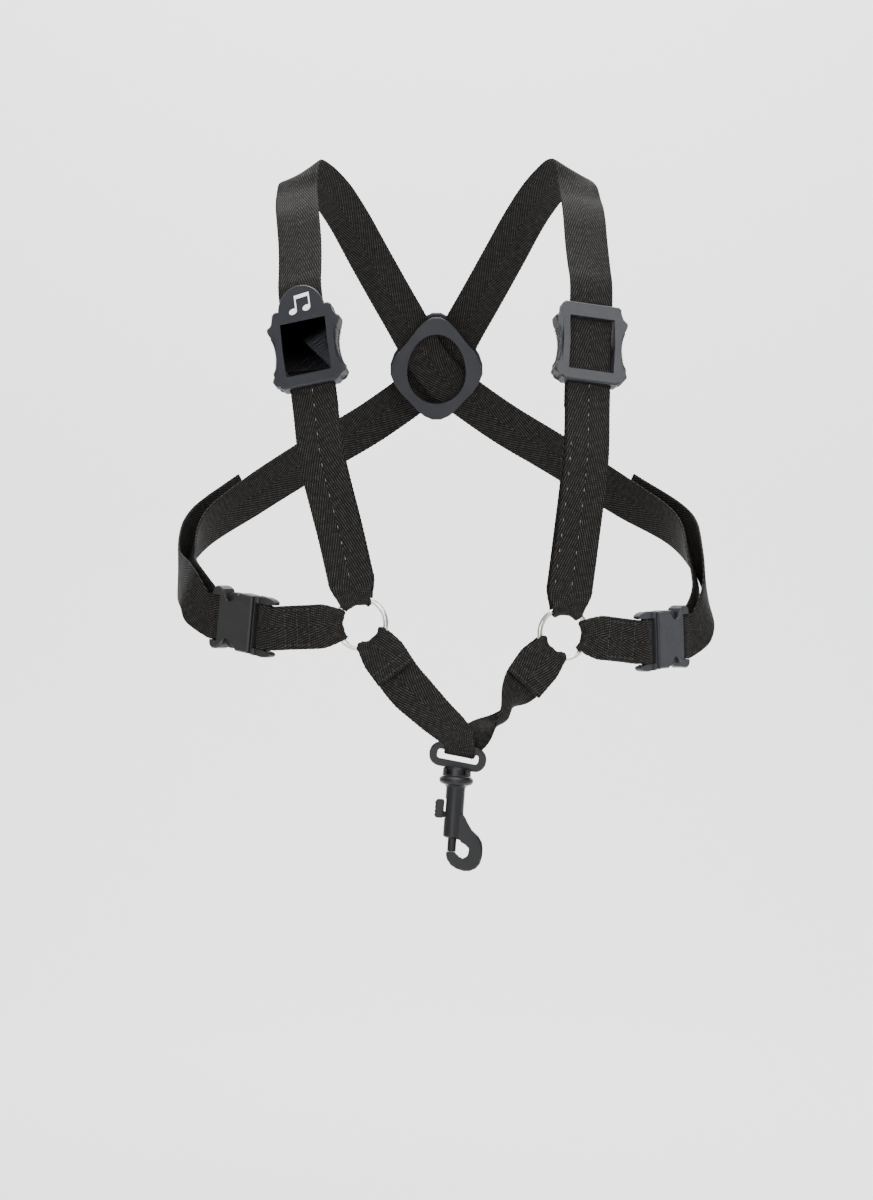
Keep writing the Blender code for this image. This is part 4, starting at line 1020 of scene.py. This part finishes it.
def build_lower_strap():
    obj, g, nrm, s, half = webbing("webbing_lower_v", lower_strap_rows(), WEB_T,
                                   [material("woven_polyester_webbing")], width=24.4, seed=0.3,
                                   wires=[wire_point(-1, 306), wire_point(1, 229)])
    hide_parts("strap_lower_v")
    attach(obj, "harness")
    lines = []
    total = float(s[-1])
    for side, near, far in ((-1, 0.0, 22.0), (1, total, total - 22.0)):
        c, d, a, n = ring_dir(side, 306 if side < 0 else 229)
        sign = 1 if side < 0 else -1
        i = int(np.searchsorted(s, near + sign * 6.0))
        face = 1 if nrm[min(i, len(s) - 1), 6] @ np.array(n) > 0 else -1
        for t in (2.0, 7.0):
            lines.append(cross_line(g, nrm, s, half, near + sign * t, -0.86, 0.86, face, -0.1))
    sewn = repeat_along("lower_v_seams", lines, 2.5, 2.0, 0.34, 0.6, material("polyester_thread_black"))
    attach(sewn, "harness")


def build_ring(side, label, segments, sides):
    """A welded wire ring, with the small bulge that its butt weld leaves."""
    c, right, up, n = ring_frame(side)
    weld = math.radians(35 if side < 0 else 150)
    bm = bmesh.new()
    loops = []
    for i in range(segments):
        a = 2 * math.pi * i / segments
        rad = right * math.cos(a) + up * math.sin(a)
        gap = math.atan2(math.sin(a - weld), math.cos(a - weld))
        r = WIRE_R - 0.06 + 0.05 * math.exp(-(gap / 0.05) ** 2)
        loops.append([bm.verts.new(c + rad * (RING_R + r * math.cos(2 * math.pi * k / sides))
                                   + n * r * math.sin(2 * math.pi * k / sides)) for k in range(sides)])
    for i in range(segments):
        a, b = loops[i], loops[(i + 1) % segments]
        for k in range(sides):
            m = (k + 1) % sides
            bm.faces.new((a[k], b[k], b[m], a[m])).smooth = True
    bmesh.ops.recalc_face_normals(bm, faces=bm.faces)
    obj = new_object("wire_ring_" + label, bm, [material("nickel_plated_wire")])
    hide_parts("ring_" + label)
    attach(obj, "ring_%s_body" % label)


def grip_lines(side):
    """Where the ribs stand on the hollowed sides of a slider, as short lines through it."""
    sc, sa, st, sn = slider_frame(side)
    curve = [(19.4, 9.0), (18.2, 5.6), (17.6, 2.2), (17.4, -1.5), (17.7, -5.5), (18.4, -9.3), (19.4, -12.4)]
    xs, ys = [p[0] for p in curve], [p[1] for p in curve]
    lines = []
    for y in np.arange(8.2, -12.4, -1.45):
        x = float(np.interp(-y, [-v for v in ys], xs))
        for k in (-1, 1):
            base = sc + sa * (k * (x - 0.02)) - st * float(y)
            lines.append([base + sn * h for h in (-4.0, 0.0, 3.4)])
    return lines


def build_slider(side, label):
    obj = moulded("slider_" + label, "slider_frame_" + label, material("moulded_acetal_slate"), 0.45)
    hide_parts("slider_" + label)
    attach(obj, "slider_%s_body" % label)
    ribs = repeat_along("slider_grip_" + label, grip_lines(side), 3.7, 4.4, 0.5, 1.0,
                        material("moulded_acetal_slate"))
    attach(ribs, "slider_%s_body" % label)
    if side < 0:
        build_mark()


def build_mark():
    """A plain pair of joined notes in white on the badge."""
    sc, sa, st, sn = slider_frame(-1)
    m = frame_matrix(sc + sn * 4.28, sa, -st, sn)
    bm = bmesh.new()

    def plate(outline, top=0.22):
        low = [bm.verts.new(m @ V((x, y, 0.0))) for x, y in outline]
        high = [bm.verts.new(m @ V((x, y, top))) for x, y in outline]
        bm.faces.new(low[::-1])
        bm.faces.new(high)
        for i in range(len(outline)):
            j = (i + 1) % len(outline)
            bm.faces.new((low[i], low[j], high[j], high[i]))

    base = 21.4
    for x0 in (-4.6, 3.4):
        drop = 1.0 if x0 < 0 else 1.9
        head = []
        for k in range(20):
            a = 2 * math.pi * k / 20
            px, py = 2.35 * math.cos(a), 1.7 * math.sin(a)
            head.append((x0 + px * 0.94 - py * 0.34, base + drop + px * 0.34 + py * 0.94))
        plate(head)
        plate([(x0 + 1.5, base + drop + 0.6), (x0 + 2.25, base + drop + 0.8),
               (x0 + 2.25, base + drop + 9.2), (x0 + 1.5, base + drop + 9.2)], 0.2)
    plate([(-3.1, base + 8.2), (5.65, base + 9.1), (5.65, base + 11.2), (-3.1, base + 10.3)], 0.21)
    bmesh.ops.recalc_face_normals(bm, faces=bm.faces)
    obj = new_object("badge_mark", bm, [material("printed_white")])
    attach(obj, "slider_left_body")


def build_buckle(side, label):
    tone = material("moulded_acetal_charcoal" if side < 0 else "moulded_acetal_slate")
    socket = moulded("buckle_socket_" + label, "buckle_shell_" + label, tone, 0.55)
    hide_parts("buckle_socket_" + label)
    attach(socket, "harness")
    plug = moulded("buckle_plug_" + label, "buckle_insert_" + label, tone, 0.45)
    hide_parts("buckle_plug_" + label)
    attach(plug, "plug_" + label)
    for end in ("upper", "lower"):
        arm = moulded("latch_%s_%s" % (label, end), "latch_arm_%s_%s" % (label, end), tone, 0.4)
        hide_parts("latch_%s_%s" % (label, end))
        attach(arm, "latch_%s_%s_body" % (label, end))


def build_hook():
    black = material("moulded_nylon_black")
    for node, name, body, edge in (("hook_eye", "hook_loop", "eye", 0.5),
                                   ("hook_body", "hook_shell", "hook", 0.5),
                                   ("hook_bolt", "hook_gate", "bolt", 0.3)):
        cutters = swivel_windows() if node == "hook_eye" else ()
        obj = moulded(node, name, black, edge, angle=32.0, cutters=cutters)
        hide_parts(node)
        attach(obj, body)
    hc, hright, hup, hn = hook_frame()
    teeth = []
    for v in (-11.2, -13.4, -15.6, -17.8):
        base = hc - hright * 10.35 + hup * v
        teeth.append([base - hn * 1.9, base, base + hn * 1.9])
    ribs = repeat_along("gate_grip", teeth, 1.8, 2.3, 0.62, 1.0, black)
    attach(ribs, "bolt")


def dress_frame():
    """Finishes for the spring and the pin, which keep their own shape."""
    for node, name in (("hook_spring", "bright_spring_wire"), ("hook_wear_pin", "nickel_plated_wire")):
        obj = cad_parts[node]
        for slot in obj.material_slots:
            slot.material = material(name)


def build_guide():
    obj = moulded("cross_guide", "back_cross_guide", material("moulded_acetal_slate"), 0.5)
    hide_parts("cross_guide")
    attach(obj, "harness")


def build_stage(floor_tone):
    """Plain pale sweep, soft lights and the camera in front."""
    bm = bmesh.new()
    low = -640.0
    profile = [(-3000, low), (1300, low)]
    for k in range(1, 13):
        a = math.radians(90 * k / 12)
        profile.append((1300 + 500 * math.sin(a), low + 500 * (1 - math.cos(a))))
    profile.append((1800, 2600))
    rows = [[bm.verts.new((x, y, z)) for x in (-4000, 4000)] for y, z in profile]
    for a, b in zip(rows[:-1], rows[1:]):
        bm.faces.new((a[0], a[1], b[1], b[0])).smooth = True
    mat, tree, bsdf = new_material("matt_studio_paper")
    co = add_node(tree, "ShaderNodeTexCoord")
    tooth = add_node(tree, "ShaderNodeTexNoise", [(0, co.outputs["Object"])], in_Scale=40.0, in_Detail=3.0)
    mix = add_node(tree, "ShaderNodeMix", [(0, tooth.outputs[0])], data_type="RGBA")
    mix.inputs[6].default_value = (floor_tone[0], floor_tone[1], floor_tone[2], 1.0)
    mix.inputs[7].default_value = (floor_tone[0] * 0.98, floor_tone[1] * 0.98, floor_tone[2] * 0.98, 1.0)
    tree.links.new(mix.outputs[2], bsdf.inputs["Base Color"])
    bsdf.inputs["Roughness"].default_value = 0.9
    new_object("studio_sweep", bm, [mat])
    world = bpy.data.worlds.new("soft_room")
    bpy.context.scene.world = world
    world.use_nodes = True
    world.node_tree.nodes["Background"].inputs[0].default_value = (0.92, 0.95, 1.0, 1.0)
    world.node_tree.nodes["Background"].inputs[1].default_value = 0.6
    lights = (("key", (1.0, -1.7, 1.1), 1.1, 44.0), ("fill", (-0.5, -2.3, 0.1), 1.0, 26.0),
              ("top", (0.0, -0.2, 1.5), 1.4, 30.0), ("backdrop", (0.0, 0.7, 1.5), 1.6, 70.0))
    for name, place, size, power in lights:
        data = bpy.data.lights.new(name, "AREA")
        data.shape = "DISK"
        data.size = size
        data.energy = power
        lamp = bpy.data.objects.new(name, data)
        lamp.location = place
        target = V((0.0, 1.8, -0.2)) if name == "backdrop" else V((0.0, -0.05, -0.2))
        lamp.rotation_euler = (target - V(place)).to_track_quat("-Z", "Y").to_euler()
        bpy.context.scene.collection.objects.link(lamp)
    cam = bpy.data.cameras.new("camera")
    cam.lens = 107.0
    cam.sensor_width = 36.0
    obj = bpy.data.objects.new("camera", cam)
    obj.location = (0.0, -2.09, -0.25)
    obj.rotation_euler = (math.radians(90), 0, 0)
    bpy.context.scene.collection.objects.link(obj)
    bpy.context.scene.camera = obj


# --------------------------------------------------------------- the add-on

class HarnessSettings(bpy.types.PropertyGroup):
    """Sizes and colours a user may change."""
    ring_segments: IntProperty(name="Ring segments", description="Steps round each wire ring",
                               default=96, min=24, max=256)
    ring_sides: IntProperty(name="Ring sides", description="Steps round the wire", default=20, min=8, max=48)
    sweep_tone: FloatVectorProperty(name="Sweep tone", description="Colour of the studio sweep", size=3,
                                    subtype="COLOR", default=(0.93, 0.93, 0.92), min=0.0, max=1.0)


class HARNESS_OT_webbing(bpy.types.Operator):
    """Weave the shoulder straps, their sewn loops, the tabs and the lower strap"""
    bl_idname = "harness.webbing"
    bl_label = "Webbing"

    def execute(self, context):
        for side, label in SIDES:
            build_long_strap(side, label)
            build_end_loop(side, label)
            build_tab(side, label)
        build_lower_strap()
        return {"FINISHED"}


class HARNESS_OT_rings(bpy.types.Operator):
    """Bend the two wire rings"""
    bl_idname = "harness.rings"
    bl_label = "Rings"

    def execute(self, context):
        opts = context.scene.harness
        for side, label in SIDES:
            build_ring(side, label, opts.ring_segments, opts.ring_sides)
        return {"FINISHED"}


class HARNESS_OT_sliders(bpy.types.Operator):
    """Mould the two sliders and the mark on the badge"""
    bl_idname = "harness.sliders"
    bl_label = "Sliders"

    def execute(self, context):
        for side, label in SIDES:
            build_slider(side, label)
        return {"FINISHED"}


class HARNESS_OT_buckles(bpy.types.Operator):
    """Mould the side-release buckles and their latch arms"""
    bl_idname = "harness.buckles"
    bl_label = "Buckles"

    def execute(self, context):
        for side, label in SIDES:
            build_buckle(side, label)
        return {"FINISHED"}


class HARNESS_OT_hook(bpy.types.Operator):
    """Mould the swivel hook and the back guide, and finish the small steel parts"""
    bl_idname = "harness.hook"
    bl_label = "Hook and guide"

    def execute(self, context):
        build_hook()
        build_guide()
        dress_frame()
        return {"FINISHED"}


class HARNESS_OT_stage(bpy.types.Operator):
    """Set the floor, the lights and the camera"""
    bl_idname = "harness.stage"
    bl_label = "Stage"

    def execute(self, context):
        build_stage(tuple(context.scene.harness.sweep_tone))
        return {"FINISHED"}


class HARNESS_PT_panel(bpy.types.Panel):
    bl_label = "Harness"
    bl_idname = "HARNESS_PT_panel"
    bl_space_type = "VIEW_3D"
    bl_region_type = "UI"
    bl_category = "Harness"

    def draw(self, context):
        opts = context.scene.harness
        for name in ("ring_segments", "ring_sides", "sweep_tone"):
            self.layout.prop(opts, name)
        for step in STEPS:
            self.layout.operator("harness." + step)


STEPS = ("stage", "webbing", "rings", "sliders", "buckles", "hook")
CLASSES = (HarnessSettings, HARNESS_OT_webbing, HARNESS_OT_rings, HARNESS_OT_sliders,
           HARNESS_OT_buckles, HARNESS_OT_hook, HARNESS_OT_stage, HARNESS_PT_panel)


def register():
    for cls in CLASSES:
        bpy.utils.register_class(cls)
    bpy.types.Scene.harness = PointerProperty(type=HarnessSettings)


def unregister():
    del bpy.types.Scene.harness
    for cls in reversed(CLASSES):
        bpy.utils.unregister_class(cls)


def main():
    register()
    for step in STEPS:
        getattr(bpy.ops.harness, step)()


if __name__ == "__main__":
    main()
